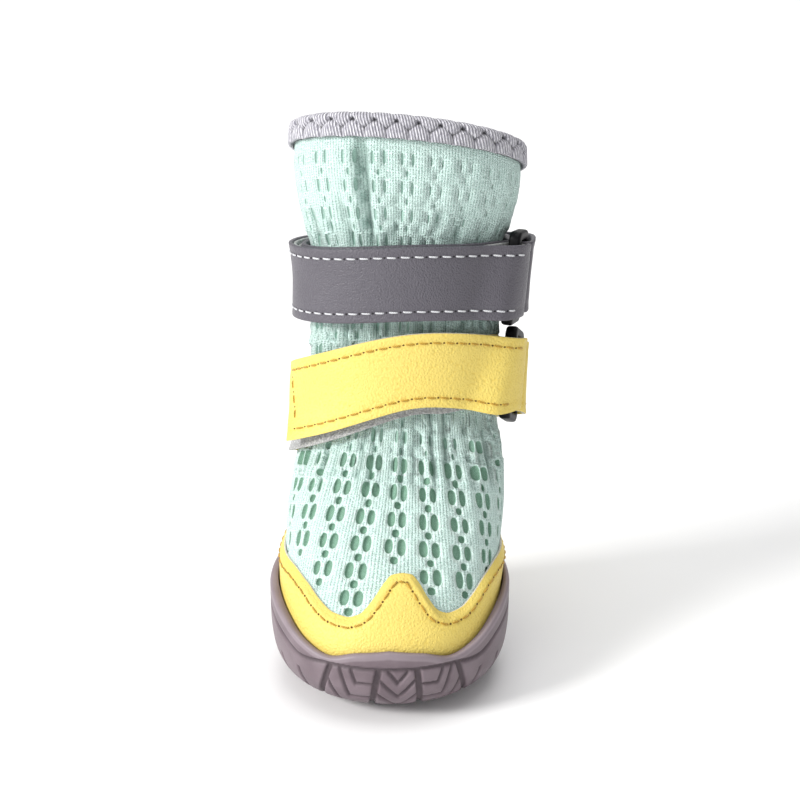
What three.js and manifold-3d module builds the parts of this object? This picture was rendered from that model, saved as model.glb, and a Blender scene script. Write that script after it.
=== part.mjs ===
// A dog's boot: a knitted sock-like shaft on a cupped rubber sole, with a leather guard round the
// foot and two straps that pass through black rings on the boot's right-hand side.
//
// Millimetres, +Z up. The toe points along -Y and the rings are on the +X side. The origin is on
// the flat face of the lug in the middle of the sole, so the boot stands on the plane z = 0.
// Angles go round the leg: 0 is the front, 90 the right-hand side, 180 the back, -90 the left.
import * as THREE from 'three';
import Module from 'manifold-3d';
import { mergeVertices } from 'three/addons/utils/BufferGeometryUtils.js';

const wasm = await Module();
wasm.setup();

// ---- Driving dimensions -------------------------------------------------------------------------

const FOOT_LENGTH = 64;
const FOOT_WIDTH = 51;
const HEIGHT = 118;

const WALL = 1.8; // knit, padding and lining together
const LEATHER = 1.1;
const GAP = 0.3; // clearance between pieces that touch

const SOLE_FLOOR = 4.3; // top of the sole inside the cup
const LUG_DEPTH = 1.2;
const INSOLE_THICKNESS = 2.4;

const STRAP_WIDTH = 15.4;
const STRAP_THICKNESS = 1.7;
const RING = { height: 20.2, width: 9.5, thickness: 2.6, slotHeight: 16.1, slotWidth: 4.6, angle: 80 };

const COLUMNS_ROUND = 50; // facets round the leg

// The tables are drawn for this size and scale with the driving dimensions above.
const DRAWN = { length: 64, width: 51, height: 118 };
const SCALE = {
  x: FOOT_WIDTH / DRAWN.width,
  y: FOOT_LENGTH / DRAWN.length,
  z: HEIGHT / DRAWN.height,
};

// ---- Tables -------------------------------------------------------------------------------------

// Sections of the last, from the hem to the collar. Each is a closed ring through a front point and
// a back point. foot is how much of the paw's plan (ball and waist) the ring has, and roll tips it
// down on the right-hand side, in degrees.
const SECTIONS = table(
  ['frontY', 'frontZ', 'backY', 'backZ', 'halfWidth', 'centreX', 'squareness', 'foot', 'roll'],
  [
    [-27.4, 4.6, 27.2, 4.6, 20.4, 0.0, 2.15, 1.0, 0], // hem
    [-29.4, 8.5, 28.6, 9.0, 21.6, 0.0, 2.15, 1.0, 0], // feather line
    [-29.6, 14.0, 29.0, 15.0, 22.1, 0.0, 2.15, 1.0, 0], // top of the toe
    [-26.6, 20.5, 29.2, 21.0, 22.5, 0.2, 2.15, 0.9, 0],
    [-21.0, 27.0, 29.3, 27.0, 23.4, 0.7, 2.15, 0.7, 0],
    [-14.4, 34.5, 29.3, 33.0, 23.7, 1.3, 2.15, 0.5, 0], // ball
    [-8.0, 42.5, 29.2, 38.0, 23.0, 2.0, 2.15, 0.3, 0],
    [-2.6, 50.5, 29.2, 42.5, 21.4, 2.4, 2.1, 0.1, 0],
    [0.6, 58.0, 29.4, 47.0, 20.3, 2.7, 2.1, 0.0, 0], // ankle
    [2.2, 66.0, 29.9, 52.5, 20.1, 2.9, 2.1, 0.0, 0],
    [3.2, 74.0, 31.0, 61.0, 20.2, 3.1, 2.1, 0.0, 0], // between the straps
    [4.2, 84.0, 33.3, 75.5, 20.1, 3.3, 2.1, 0.0, 0],
    [4.8, 92.5, 35.6, 84.5, 21.1, 3.5, 2.1, 0.0, 0.5],
    [3.8, 100.5, 38.0, 91.0, 23.0, 3.7, 2.1, 0.0, 2],
    [4.0, 109.0, 40.0, 97.0, 24.2, 3.8, 2.1, 0.0, 4],
    [5.4, 117.5, 41.2, 103.0, 23.9, 3.9, 2.1, 0.0, 5.5], // collar
  ],
);

// The sole's outline at each height, up to its smooth rim.
const SOLE_OUTLINES = table(
  ['height', 'frontY', 'backY', 'halfWidth', 'squareness'],
  [
    [0.0, -20.2, 24.8, 16.4, 2.1],
    [1.0, -24.3, 27.2, 19.5, 2.12],
    [2.5, -27.8, 29.3, 22.2, 2.14],
    [5.0, -30.8, 30.8, 24.2, 2.15],
    [8.5, -32.6, 31.4, 25.3, 2.15],
    [13.0, -33.1, 32.0, 25.8, 2.15],
    [22.0, -31.6, 32.4, 26.0, 2.15],
  ],
);

// Height of the sole's rim, and of the leather guard's upper edge, round the foot.
const SOLE_RIM = [
  [0, 16.6], [12, 15.8], [23, 14.2], [34, 15.4], [50, 18.2], [70, 20.4], [95, 21.0], [125, 20.6], [155, 20.4],
  [180, 21.2],
];
const GUARD_EDGE = [
  [0, 29.3], [4.5, 29.0], [8, 27.6], [12, 25.0], [17, 22.4], [22, 21.6], [28, 21.8], [36, 23.2], [46, 25.2],
  [60, 26.4], [75, 26.2], [90, 26.2], [104, 26.6], [116, 27.6], [128, 31.0], [140, 35.2], [154, 36.8],
  [180, 36.5],
];
const GUARD_CENTRE = 4; // the guard's pattern is turned this far towards the right, in degrees

// Straps: height at the middle of the boot, rise at the front and rise at the right-hand side, in
// millimetres, and the angle at which the upper layer ends.
const STRAPS = {
  lower: { height: 56.6, frontRise: 9.4, rightRise: 2.7, end: -78, colour: 0xf2dc72 },
  upper: { height: 81.2, frontRise: 3.2, rightRise: 0.5, end: -112, colour: 0x6f6c74 },
};
const STRAP_START = -176;
const TAB_START = 176;
const TAB_END = 148;

// ---- Small tools --------------------------------------------------------------------------------

function table(columns, rows) {
  return rows.map((row) => Object.fromEntries(row.map((value, index) => [columns[index], value])));
}

const radians = THREE.MathUtils.degToRad;

// Slope of a smooth curve at one knot: none where the values turn, so the curve never overshoots.
function knotSlope(before, after) {
  return before * after > 0 ? (2 * before * after) / (before + after) : 0;
}

// Smooth curve through points [position, value], flat beyond both ends.
function follow(points, position) {
  const last = points.length - 1;
  if (position <= points[0][0]) return points[0][1];
  if (position >= points[last][0]) return points[last][1];
  let index = 0;
  while (points[index + 1][0] < position) index += 1;
  const rate = (at) => {
    const place = Math.min(Math.max(at, 0), last - 1);
    return (points[place + 1][1] - points[place][1]) / (points[place + 1][0] - points[place][0]);
  };
  const span = points[index + 1][0] - points[index][0];
  const t = (position - points[index][0]) / span;
  const start = knotSlope(rate(index - 1), rate(index)) * span;
  const end = knotSlope(rate(index), rate(index + 1)) * span;
  const [from, to] = [points[index][1], points[index + 1][1]];
  return (
    from * (2 * t ** 3 - 3 * t ** 2 + 1) + to * (3 * t ** 2 - 2 * t ** 3) +
    start * (t ** 3 - 2 * t ** 2 + t) + end * (t ** 3 - t ** 2)
  );
}

// Distance from the middle to the edge of a rounded oval, with half-axes front and side.
function ovalRadius(angle, front, side, squareness) {
  const along = Math.abs(Math.cos(angle) / front) ** squareness;
  const across = Math.abs(Math.sin(angle) / side) ** squareness;
  return (along + across) ** (-1 / squareness);
}

// A paw's plan is widest at the ball and a little narrower at the waist.
const BALL = 0.035;
const WAIST = { depth: 0.025, angle: 108, reach: 24 };
function pawPlan(angle) {
  const turn = Math.abs(THREE.MathUtils.radToDeg(Math.atan2(Math.sin(angle), Math.cos(angle))));
  const waist = WAIST.depth * Math.exp(-(((turn - WAIST.angle) / WAIST.reach) ** 2));
  return 1 + BALL * Math.cos(angle) - waist;
}

function anglesRound(count) {
  return Array.from({ length: count }, (_, index) => (2 * Math.PI * index) / count);
}

// ---- The last, from which the upper and everything on it is made ----------------------------------

const PLACES = SECTIONS.map((row, index) => index / (SECTIONS.length - 1));
const LAST_COLUMNS = Object.fromEntries(
  Object.keys(SECTIONS[0]).map((name) => [name, SECTIONS.map((row, index) => [PLACES[index], row[name]])]),
);

// Point on the outside of the upper. place runs from 0 at the hem to 1 at the collar.
function lastPoint(place, angle) {
  const at = (name) => follow(LAST_COLUMNS[name], place);
  const frontY = at('frontY') * SCALE.y;
  const backY = at('backY') * SCALE.y;
  const frontZ = at('frontZ') * SCALE.z;
  const backZ = at('backZ') * SCALE.z;
  const halfWidth = at('halfWidth') * SCALE.x;
  const halfDepth = Math.hypot(backY - frontY, backZ - frontZ) / 2;
  const radius = ovalRadius(angle, halfDepth, halfWidth, at('squareness'));
  const along = (radius * Math.cos(angle)) / halfDepth;
  const plan = 1 + at('foot') * (pawPlan(angle) - 1);
  const across = radius * Math.sin(angle) * plan;
  return new THREE.Vector3(
    at('centreX') * SCALE.x + across,
    (frontY + backY) / 2 + (along * (frontY - backY)) / 2,
    (frontZ + backZ) / 2 + (along * (frontZ - backZ)) / 2 - across * Math.tan(radians(at('roll'))),
  );
}

const STEP = 1e-3;
function lastTangents(place, angle) {
  const low = Math.max(place - STEP, 0);
  const high = Math.min(place + STEP, 1);
  const up = lastPoint(high, angle).sub(lastPoint(low, angle)).normalize();
  const round = lastPoint(place, angle + STEP).sub(lastPoint(place, angle - STEP));
  const pace = round.length() / (2 * STEP);
  return { up, round: round.normalize(), normal: round.clone().cross(up).normalize(), pace };
}

// Point at a distance outside the upper's outer face, or inside it where offset is negative.
function upperPoint(place, angle, offset) {
  return lastPoint(place, angle).addScaledVector(lastTangents(place, angle).normal, offset);
}

// The place on the upper where its face, moved out by offset, reaches a height.
function placeAtHeight(height, angle, offset) {
  let [low, high] = [0, 1];
  for (let step = 0; step < 26; step += 1) {
    const middle = (low + high) / 2;
    if (upperPoint(middle, angle, offset).z < height) low = middle;
    else high = middle;
  }
  return (low + high) / 2;
}

function upperAtHeight(height, angle, offset) {
  const point = upperPoint(placeAtHeight(height, angle, offset), angle, offset);
  point.z = height;
  return point;
}

// ---- Solids from rings of points ------------------------------------------------------------------

// Skins a row of rings. The last ring joins the first, or both ends are closed by a cap.
function solidOfRings(rings, ends) {
  const round = rings[0].length;
  const positions = rings.flat().flatMap((point) => point.toArray());
  const triangles = [];
  const quad = (a, b, c, d) => triangles.push(a, b, c, a, c, d);
  const joins = ends === 'loop' ? rings.length : rings.length - 1;
  for (let ring = 0; ring < joins; ring += 1) {
    const next = (ring + 1) % rings.length;
    for (let column = 0; column < round; column += 1) {
      const beside = (column + 1) % round;
      quad(ring * round + column, ring * round + beside, next * round + beside, next * round + column);
    }
  }
  if (ends === 'caps') {
    const cap = (ring, flip) => {
      const centre = new THREE.Vector3();
      for (const point of rings[ring]) centre.addScaledVector(point, 1 / round);
      const middle = positions.push(...centre.toArray()) / 3 - 1;
      for (let column = 0; column < round; column += 1) {
        const pair = [ring * round + column, ring * round + ((column + 1) % round)];
        if (flip) pair.reverse();
        triangles.push(middle, ...pair);
      }
    };
    cap(0, true);
    cap(rings.length - 1, false);
  }
  const geometry = new THREE.BufferGeometry();
  geometry.setAttribute('position', new THREE.Float32BufferAttribute(positions, 3));
  geometry.setIndex(triangles);
  return facingOut(geometry);
}

// Turns a closed surface the right way round, by the sign of its volume.
function facingOut(geometry) {
  const position = geometry.getAttribute('position');
  const index = geometry.getIndex();
  const corner = (at) => new THREE.Vector3().fromBufferAttribute(position, index.getX(at));
  let volume = 0;
  for (let at = 0; at < index.count; at += 3) volume += corner(at).dot(corner(at + 1).cross(corner(at + 2)));
  if (volume < 0) geometry.setIndex(Array.from(index.array).reverse());
  return geometry;
}

function toManifold(geometry) {
  const bare = geometry.clone();
  bare.deleteAttribute('normal');
  bare.deleteAttribute('uv');
  const merged = mergeVertices(bare, 1e-4);
  return new wasm.Manifold(
    new wasm.Mesh({
      numProp: 3,
      vertProperties: new Float32Array(merged.getAttribute('position').array),
      triVerts: new Uint32Array(merged.getIndex().array),
    }),
  );
}

function fromManifold(solid) {
  const mesh = solid.getMesh();
  const geometry = new THREE.BufferGeometry();
  geometry.setAttribute('position', new THREE.BufferAttribute(new Float32Array(mesh.vertProperties), 3));
  geometry.setIndex(new THREE.BufferAttribute(new Uint32Array(mesh.triVerts), 1));
  return geometry;
}

// ---- Upper, collar binding and insole ---------------------------------------------------------------

// One hollow wall, open at the collar and underneath: up the outside, over the rim, down the inside.
const OUTER_ROWS = 30;
const INNER_ROWS = 15;
function upperSolid() {
  const angles = anglesRound(COLUMNS_ROUND);
  const ringAt = (place, offset) => angles.map((angle) => upperPoint(place, angle, offset));
  const rings = [];
  for (let row = 0; row <= OUTER_ROWS; row += 1) rings.push(ringAt(row / OUTER_ROWS, 0));
  for (let row = INNER_ROWS; row >= 0; row -= 1) rings.push(ringAt(row / INNER_ROWS, -WALL));
  return solidOfRings(rings, 'loop');
}

// A knitted band folded over the collar's rim, outside and inside.
const BINDING = { height: 4.0, thickness: 0.9, clearance: 0.35 };
function bindingSolid() {
  const near = BINDING.clearance;
  const far = near + BINDING.thickness;
  const profile = [
    [near, -BINDING.height], [far, -BINDING.height], [far, 0.5], [far - 0.8, far], [-WALL - far + 0.8, far],
    [-WALL - far, 0.5], [-WALL - far, -BINDING.height], [-WALL - near, -BINDING.height], [-WALL - near, near],
    [near, near],
  ];
  const angles = anglesRound(COLUMNS_ROUND);
  const rings = profile.map(([offset, rise]) =>
    angles.map((angle) => {
      const { up, normal } = lastTangents(1, angle);
      return lastPoint(1, angle).addScaledVector(normal, offset).addScaledVector(up, rise);
    }),
  );
  return solidOfRings(rings, 'loop');
}

function insoleSolid() {
  const bottom = SOLE_FLOOR + GAP;
  const angles = anglesRound(COLUMNS_ROUND);
  const rings = [bottom, bottom + INSOLE_THICKNESS].map((height) =>
    angles.map((angle) => upperAtHeight(height, angle, -WALL - 2 * GAP).setZ(height)),
  );
  return solidOfRings(rings, 'caps');
}

// ---- Leather guard round the foot ---------------------------------------------------------------------

const GUARD_INSIDE = 0.45;
const GUARD_BOTTOM = 8; // its lower edge is tucked behind the sole's rim
function guardEdge(angle) {
  const turned = angle - radians(GUARD_CENTRE) * Math.cos(angle / 2) ** 2;
  const turn = Math.abs(THREE.MathUtils.radToDeg(Math.atan2(Math.sin(turned), Math.cos(turned))));
  return follow(GUARD_EDGE, turn) * SCALE.z;
}

const GUARD_COLUMNS = 48;
const GUARD_ROWS = 6;
function guardSolid() {
  const angles = anglesRound(GUARD_COLUMNS);
  const ringAt = (share, offset) =>
    angles.map((angle) => {
      const low = placeAtHeight(GUARD_BOTTOM, angle, offset);
      const high = placeAtHeight(guardEdge(angle), angle, offset);
      return upperPoint(low + (high - low) * share, angle, offset);
    });
  const rings = [];
  for (let row = 0; row <= GUARD_ROWS; row += 1) rings.push(ringAt(row / GUARD_ROWS, GUARD_INSIDE + LEATHER));
  for (let row = GUARD_ROWS; row >= 0; row -= 1) rings.push(ringAt(row / GUARD_ROWS, GUARD_INSIDE));
  return solidOfRings(rings, 'loop');
}

// ---- Sole -------------------------------------------------------------------------------------------

const SOLE_COLUMNS = Object.fromEntries(
  Object.keys(SOLE_OUTLINES[0]).map((name) => [name, SOLE_OUTLINES.map((row) => [row.height, row[name]])]),
);

// Point on the outside of the sole, moved in by inset.
function solePoint(height, angle, inset) {
  const at = (name) => follow(SOLE_COLUMNS[name], height);
  const halfLength = ((at('backY') - at('frontY')) / 2) * SCALE.y - inset;
  const radius = ovalRadius(angle, halfLength, at('halfWidth') * SCALE.x - inset, at('squareness'));
  return new THREE.Vector3(
    radius * Math.sin(angle) * pawPlan(angle),
    ((at('backY') + at('frontY')) / 2) * SCALE.y - radius * Math.cos(angle),
    height,
  );
}

function soleRim(angle) {
  const turn = Math.abs(THREE.MathUtils.radToDeg(Math.atan2(Math.sin(angle), Math.cos(angle))));
  return follow(SOLE_RIM, turn) * SCALE.z;
}

// The rim of the cup is rounded off over this height, by this inset, and dips a little inside.
const RIM = { height: 0.7, inset: 0.5, dip: 0.2 };
function soleBlank() {
  const angles = anglesRound(COLUMNS_ROUND);
  const inside = GUARD_INSIDE + LEATHER + 1.5 * GAP;
  const outer = [0, 1, 2.5, 5, 8.5].map((height) => angles.map((angle) => solePoint(height, angle, 0)));
  const rim = [
    angles.map((angle) => solePoint(soleRim(angle) - RIM.height, angle, 0)),
    angles.map((angle) => solePoint(soleRim(angle), angle, RIM.inset)),
  ];
  const foot = GUARD_BOTTOM - GAP;
  const inner = [1, 0.75, 0.5, 0.25, 0].map((share) =>
    angles.map((angle) => upperAtHeight(foot + (soleRim(angle) - RIM.dip - foot) * share, angle, inside)),
  );
  const floor = angles.map((angle) => upperAtHeight(SOLE_FLOOR + GAP, angle, GAP).setZ(SOLE_FLOOR));
  return solidOfRings([...outer, ...rim, ...inner, floor], 'caps');
}

// A groove of constant width along a bent line, as a flat shape.
function grooveShape(line, width) {
  const side = (sign) =>
    line.map(([x, y], index) => {
      const before = line[Math.max(index - 1, 0)];
      const after = line[Math.min(index + 1, line.length - 1)];
      const run = Math.hypot(after[0] - before[0], after[1] - before[1]);
      const reach = (sign * width) / 2 / run;
      return new THREE.Vector2(x - (after[1] - before[1]) * reach, y + (after[0] - before[0]) * reach);
    });
  return new THREE.Shape([...side(1), ...side(-1).reverse()]);
}

// Chevron channels across the sole, pointing at the toe, with a flat lug over the origin.
const TREAD = { pitch: 7, width: 1.7, slope: 0.42, centreX: 1.2, rows: 6 };
function treadCutter() {
  const cutters = [];
  for (let row = 0; row < TREAD.rows; row += 1) {
    const apex = (row + 0.5 - TREAD.rows / 2) * TREAD.pitch;
    const reach = FOOT_WIDTH;
    const line = [
      [TREAD.centreX - reach, apex + reach * TREAD.slope],
      [TREAD.centreX, apex],
      [TREAD.centreX + reach, apex + reach * TREAD.slope],
    ];
    const geometry = new THREE.ExtrudeGeometry(grooveShape(line, TREAD.width), {
      depth: LUG_DEPTH + 1,
      bevelEnabled: false,
    });
    cutters.push(toManifold(geometry.translate(0, 0, -1)));
  }
  return wasm.Manifold.union(cutters);
}

// Grooves up the front of the toe, each a line in x and z, cut only into the skin of the wall.
const TOE_GROOVES = [
  [[-2.0, 12.6], [-4.6, 0.6]],
  [[5.7, 12.6], [7.2, 0.6]],
  [[-12.6, 11.4], [-16.4, 3.0]],
  [[14.8, 11.6], [18.2, 3.2]],
];
const TOE_GROOVE = { width: 1.5, depth: 0.7 };
function toeCutter() {
  const angles = anglesRound(COLUMNS_ROUND);
  const form = (inset) =>
    solidOfRings([-1, 0, 1, 2.5, 5, 8.5, 13.5].map((height) =>
      angles.map((angle) => solePoint(height, angle, inset).setZ(height + inset * 0.8))), 'caps');
  const skin = toManifold(form(-0.4)).subtract(toManifold(form(TOE_GROOVE.depth)));
  const lines = TOE_GROOVES.map((line) => {
    const geometry = new THREE.ExtrudeGeometry(grooveShape(line, TOE_GROOVE.width), {
      depth: FOOT_LENGTH / 3,
      bevelEnabled: false,
    });
    return toManifold(geometry.rotateX(Math.PI / 2).translate(0, -FOOT_LENGTH / 4, 0));
  });
  return wasm.Manifold.union(lines).intersect(skin);
}

function soleSolid() {
  return fromManifold(toManifold(soleBlank()).subtract(treadCutter()).subtract(toeCutter()));
}

// ---- Straps, tabs and rings ---------------------------------------------------------------------------

function strapHeight(strap, angle) {
  return (strap.height + strap.frontRise * Math.cos(angle) + strap.rightRise * Math.sin(angle)) * SCALE.z;
}

// Point on a strap: angle along it, across from its middle line, offset from the upper's face.
function strapPoint(strap, angle, across, offset) {
  const middle = placeAtHeight(strapHeight(strap, angle), angle, 0);
  const { pace } = lastTangents(middle, angle);
  const climb = (strapHeight(strap, angle + STEP) - strapHeight(strap, angle - STEP)) / (2 * STEP);
  const slope = Math.atan2(climb, pace);
  const turned = angle - (across * Math.sin(slope)) / pace;
  return upperAtHeight(strapHeight(strap, angle) + across * Math.cos(slope), turned, offset);
}

// The flat frame of a strap's ring: on the upper's face, square to the strap's middle line.
function ringFrame(strap) {
  const angle = radians(RING.angle);
  const reach = STRAP_WIDTH / 2;
  const point = (turned, across) => strapPoint(strap, turned, across, 0);
  const up = point(angle, reach).sub(point(angle, -reach)).normalize();
  const along = point(angle + 0.2, 0).sub(point(angle - 0.2, 0)).normalize();
  const normal = along.clone().cross(up).normalize();
  return { origin: point(angle, 0), along, across: normal.clone().cross(along), normal };
}

// A tape lies on the boot up to a ring's bar, folds round it and comes back over itself.
// side is -1 where the tape comes from the front of the ring and 1 where it comes from behind.
// Each step of the tape is a pair of points for each distance across: one on the face that looks at
// the bar and one on its back.
const TAPE_LIFT = 0.6; // the lower layer's height above the upper's face
const RING_LIFT = 3.9; // the ring's middle above the upper's face
const BESIDE_BAR = 0.23; // radians from the ring's middle, where a tape leaves the boot's face
const BAR_DROP = 0.3; // the boot's face is this much further from a bar than from the ring's middle
const LANDING = 0.56; // radians from the ring's middle, where the upper layer has come down again
function foldedTape({ strap, start, end, thickness, side }) {
  const half = thickness / 2;
  const ring = radians(RING.angle);
  const barAlong = (side * (RING.width + RING.slotWidth)) / 4;
  const under = TAPE_LIFT + half;
  const over = under + thickness + GAP;
  const round = RING.thickness / 2 + 2 * GAP + half;
  const frame = ringFrame(strap);
  const steps = [];
  const onBoot = (angle, offset, facing) =>
    steps.push((across) => [
      strapPoint(strap, angle, across, offset + facing * half),
      strapPoint(strap, angle, across, offset - facing * half),
    ]);
  const onRing = (turn) => {
    const height = turn < 0 ? RING_LIFT - under + BAR_DROP : round;
    const at = (across, distance) =>
      frame.origin.clone()
        .addScaledVector(frame.along, barAlong - side * Math.cos(turn) * (round + distance))
        .addScaledVector(frame.normal, RING_LIFT + Math.sin(turn) * (height + distance))
        .addScaledVector(frame.across, across);
    steps.push((across) => [at(across, -half), at(across, half)]);
  };
  const run = (from, to, offsetAt, facing) => {
    const count = Math.max(1, Math.round(Math.abs(to - from) / radians(9)));
    for (let step = 0; step <= count; step += 1) {
      const angle = from + ((to - from) * step) / count;
      onBoot(angle, offsetAt(angle), facing);
    }
  };
  const leaving = ring + side * BESIDE_BAR;
  const landing = ring + side * LANDING;
  const settle = (angle) => {
    const share = (angle - leaving) / (landing - leaving);
    return over + (RING_LIFT + round + 0.3 - over) * (1 - share ** 2 * (3 - 2 * share));
  };
  run(radians(start), leaving, () => under, 1);
  for (const turn of [-90, -60, -30, 0, 30, 60, 90]) onRing(radians(turn));
  run(leaving, landing, settle, -1);
  run(landing + side * radians(9), radians(end), () => over, -1);
  return steps;
}

// Skins the steps of a tape, which has three points across on each face.
function tapeSolid(steps) {
  const places = [-STRAP_WIDTH / 2, 0, STRAP_WIDTH / 2];
  const rings = steps.map((step) => {
    const pairs = places.map(step);
    return [...pairs.map(([face]) => face), ...pairs.map(([, back]) => back).reverse()];
  });
  return solidOfRings(rings, 'caps');
}

function ringSolid() {
  const rounded = (shape, width, height, radius) => {
    const [x, y] = [width / 2, height / 2];
    shape.moveTo(-x + radius, -y);
    shape.lineTo(x - radius, -y);
    shape.absarc(x - radius, -y + radius, radius, -Math.PI / 2, 0);
    shape.lineTo(x, y - radius);
    shape.absarc(x - radius, y - radius, radius, 0, Math.PI / 2);
    shape.lineTo(-x + radius, y);
    shape.absarc(-x + radius, y - radius, radius, Math.PI / 2, Math.PI);
    shape.lineTo(-x, -y + radius);
    shape.absarc(-x + radius, -y + radius, radius, Math.PI, 1.5 * Math.PI);
    return shape;
  };
  const outline = rounded(new THREE.Shape(), RING.width, RING.height, 1.8);
  outline.holes.push(rounded(new THREE.Path(), RING.slotWidth, RING.slotHeight, 0.6));
  return new THREE.ExtrudeGeometry(outline, {
    depth: RING.thickness - 0.8,
    bevelThickness: 0.4,
    bevelSize: 0.4,
    bevelOffset: -0.4,
    bevelSegments: 1,
    curveSegments: 3,
  }).translate(0, 0, 0.4 - RING.thickness / 2);
}

function placeRing(mesh, strap) {
  const { origin, along, across, normal } = ringFrame(strap);
  mesh.quaternion.setFromRotationMatrix(new THREE.Matrix4().makeBasis(along, across, normal));
  mesh.position.copy(origin).addScaledVector(normal, RING_LIFT);
  return mesh;
}

// ---- The boot -----------------------------------------------------------------------------------------

const KNIT = { color: 0xbfd9cf, roughness: 0.95, metalness: 0 };
const MELANGE = { color: 0xc4c3ca, roughness: 0.95, metalness: 0 };
const YELLOW_LEATHER = { color: 0xf0d870, roughness: 0.6, metalness: 0 };
const RUBBER = { color: 0x817177, roughness: 0.75, metalness: 0 };
const FELT = { color: 0x9aa39c, roughness: 1, metalness: 0 };
const PLASTIC = { color: 0x101012, roughness: 0.35, metalness: 0 };

const boot = new THREE.Group();
function add(name, geometry, finish) {
  const mesh = new THREE.Mesh(geometry, new THREE.MeshStandardMaterial(finish));
  mesh.name = name;
  boot.add(mesh);
  return mesh;
}

add('upper', upperSolid(), KNIT);
add('sole', soleSolid(), RUBBER);
add('insole', insoleSolid(), FELT);
add('guard', guardSolid(), YELLOW_LEATHER);
add('collar_binding', bindingSolid(), MELANGE);

for (const [level, strap] of Object.entries(STRAPS)) {
  const leather = { color: strap.colour, roughness: 0.6, metalness: 0 };
  const tape = { strap, start: STRAP_START, end: strap.end, thickness: STRAP_THICKNESS, side: -1 };
  const tab = { strap, start: TAB_START, end: TAB_END, thickness: LEATHER, side: 1 };
  add(`${level}_strap`, tapeSolid(foldedTape(tape)), leather);
  add(`${level}_ring_tab`, tapeSolid(foldedTape(tab)), leather);
  placeRing(add(`${level}_ring`, ringSolid(), PLASTIC), strap);
}

export default boot;
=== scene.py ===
import math

import bmesh
import bpy
import numpy as np
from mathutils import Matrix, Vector
from mathutils.geometry import delaunay_2d_cdt


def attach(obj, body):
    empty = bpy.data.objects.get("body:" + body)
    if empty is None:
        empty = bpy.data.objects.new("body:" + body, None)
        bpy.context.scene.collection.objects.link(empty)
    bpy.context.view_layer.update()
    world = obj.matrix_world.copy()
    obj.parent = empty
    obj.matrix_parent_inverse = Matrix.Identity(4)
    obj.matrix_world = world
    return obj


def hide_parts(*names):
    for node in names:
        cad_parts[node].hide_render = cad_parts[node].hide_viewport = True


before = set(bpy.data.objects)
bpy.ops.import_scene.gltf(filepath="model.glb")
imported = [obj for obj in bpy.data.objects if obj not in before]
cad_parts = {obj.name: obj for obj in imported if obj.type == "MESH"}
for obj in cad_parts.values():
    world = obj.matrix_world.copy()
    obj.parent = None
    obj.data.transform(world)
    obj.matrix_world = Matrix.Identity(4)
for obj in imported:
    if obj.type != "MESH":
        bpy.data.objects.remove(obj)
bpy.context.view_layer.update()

# A knitted dog boot on a cupped rubber sole, with a leather guard and two straps through rings.
# Sizes are in millimetres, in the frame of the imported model: the toe points along -Y, the rings
# are on the +X side. Angles go round the leg: 0 the front, 90 the right-hand side, 180 the back.

MM = 0.001
TURN = 2 * math.pi

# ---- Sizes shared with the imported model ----

WALL = 1.8
LEATHER = 1.1
GAP = 0.3
SOLE_FLOOR = 4.3
LUG_DEPTH = 1.2
INSOLE_THICKNESS = 2.4
STRAP_WIDTH = 15.4
STRAP_THICKNESS = 1.7
RING = {
    "height": 20.2, "width": 9.5, "thickness": 2.6, "corner": 1.8,
    "slot_height": 16.1, "slot_width": 4.6, "slot_corner": 0.6, "angle": 80,
}
BINDING = {"height": 4.0, "thickness": 0.9, "clearance": 0.35}
GUARD_INSIDE = 0.45
GUARD_BOTTOM = 8
GUARD_CENTRE = 4
TREAD = {"pitch": 7, "width": 1.7, "slope": 0.42, "centre_x": 1.2, "rows": 6}
RIM = {"height": 0.7, "inset": 0.5, "dip": 0.2}

LAST_ROWS = [
    # front y, front z, back y, back z, half width, centre x, squareness, foot, roll
    [-27.4, 4.6, 27.2, 4.6, 20.4, 0.0, 2.15, 1.0, 0],  # hem
    [-29.4, 8.5, 28.6, 9.0, 21.6, 0.0, 2.15, 1.0, 0],
    [-29.6, 14.0, 29.0, 15.0, 22.1, 0.0, 2.15, 1.0, 0],  # top of the toe
    [-26.6, 20.5, 29.2, 21.0, 22.5, 0.2, 2.15, 0.9, 0],
    [-21.0, 27.0, 29.3, 27.0, 23.4, 0.7, 2.15, 0.7, 0],
    [-14.4, 34.5, 29.3, 33.0, 23.7, 1.3, 2.15, 0.5, 0],  # ball
    [-8.0, 42.5, 29.2, 38.0, 23.0, 2.0, 2.15, 0.3, 0],
    [-2.6, 50.5, 29.2, 42.5, 21.4, 2.4, 2.1, 0.1, 0],
    [0.6, 58.0, 29.4, 47.0, 20.3, 2.7, 2.1, 0.0, 0],  # ankle
    [2.2, 66.0, 29.9, 52.5, 20.1, 2.9, 2.1, 0.0, 0],
    [3.2, 74.0, 31.0, 61.0, 20.2, 3.1, 2.1, 0.0, 0],  # between the straps
    [4.2, 84.0, 33.3, 75.5, 20.1, 3.3, 2.1, 0.0, 0],
    [4.8, 92.5, 35.6, 84.5, 21.1, 3.5, 2.1, 0.0, 0.5],
    [3.8, 100.5, 38.0, 91.0, 23.0, 3.7, 2.1, 0.0, 2],
    [4.0, 109.0, 40.0, 97.0, 24.2, 3.8, 2.1, 0.0, 4],
    [5.4, 117.5, 41.2, 103.0, 23.9, 3.9, 2.1, 0.0, 5.5],  # collar
]
SOLE_ROWS = [
    # height, front y, back y, half width, squareness
    [0.0, -20.2, 24.8, 16.4, 2.1],
    [1.0, -24.3, 27.2, 19.5, 2.12],
    [2.5, -27.8, 29.3, 22.2, 2.14],
    [5.0, -30.8, 30.8, 24.2, 2.15],
    [8.5, -32.6, 31.4, 25.3, 2.15],
    [13.0, -33.1, 32.0, 25.8, 2.15],
    [22.0, -31.6, 32.4, 26.0, 2.15],
]
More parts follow.
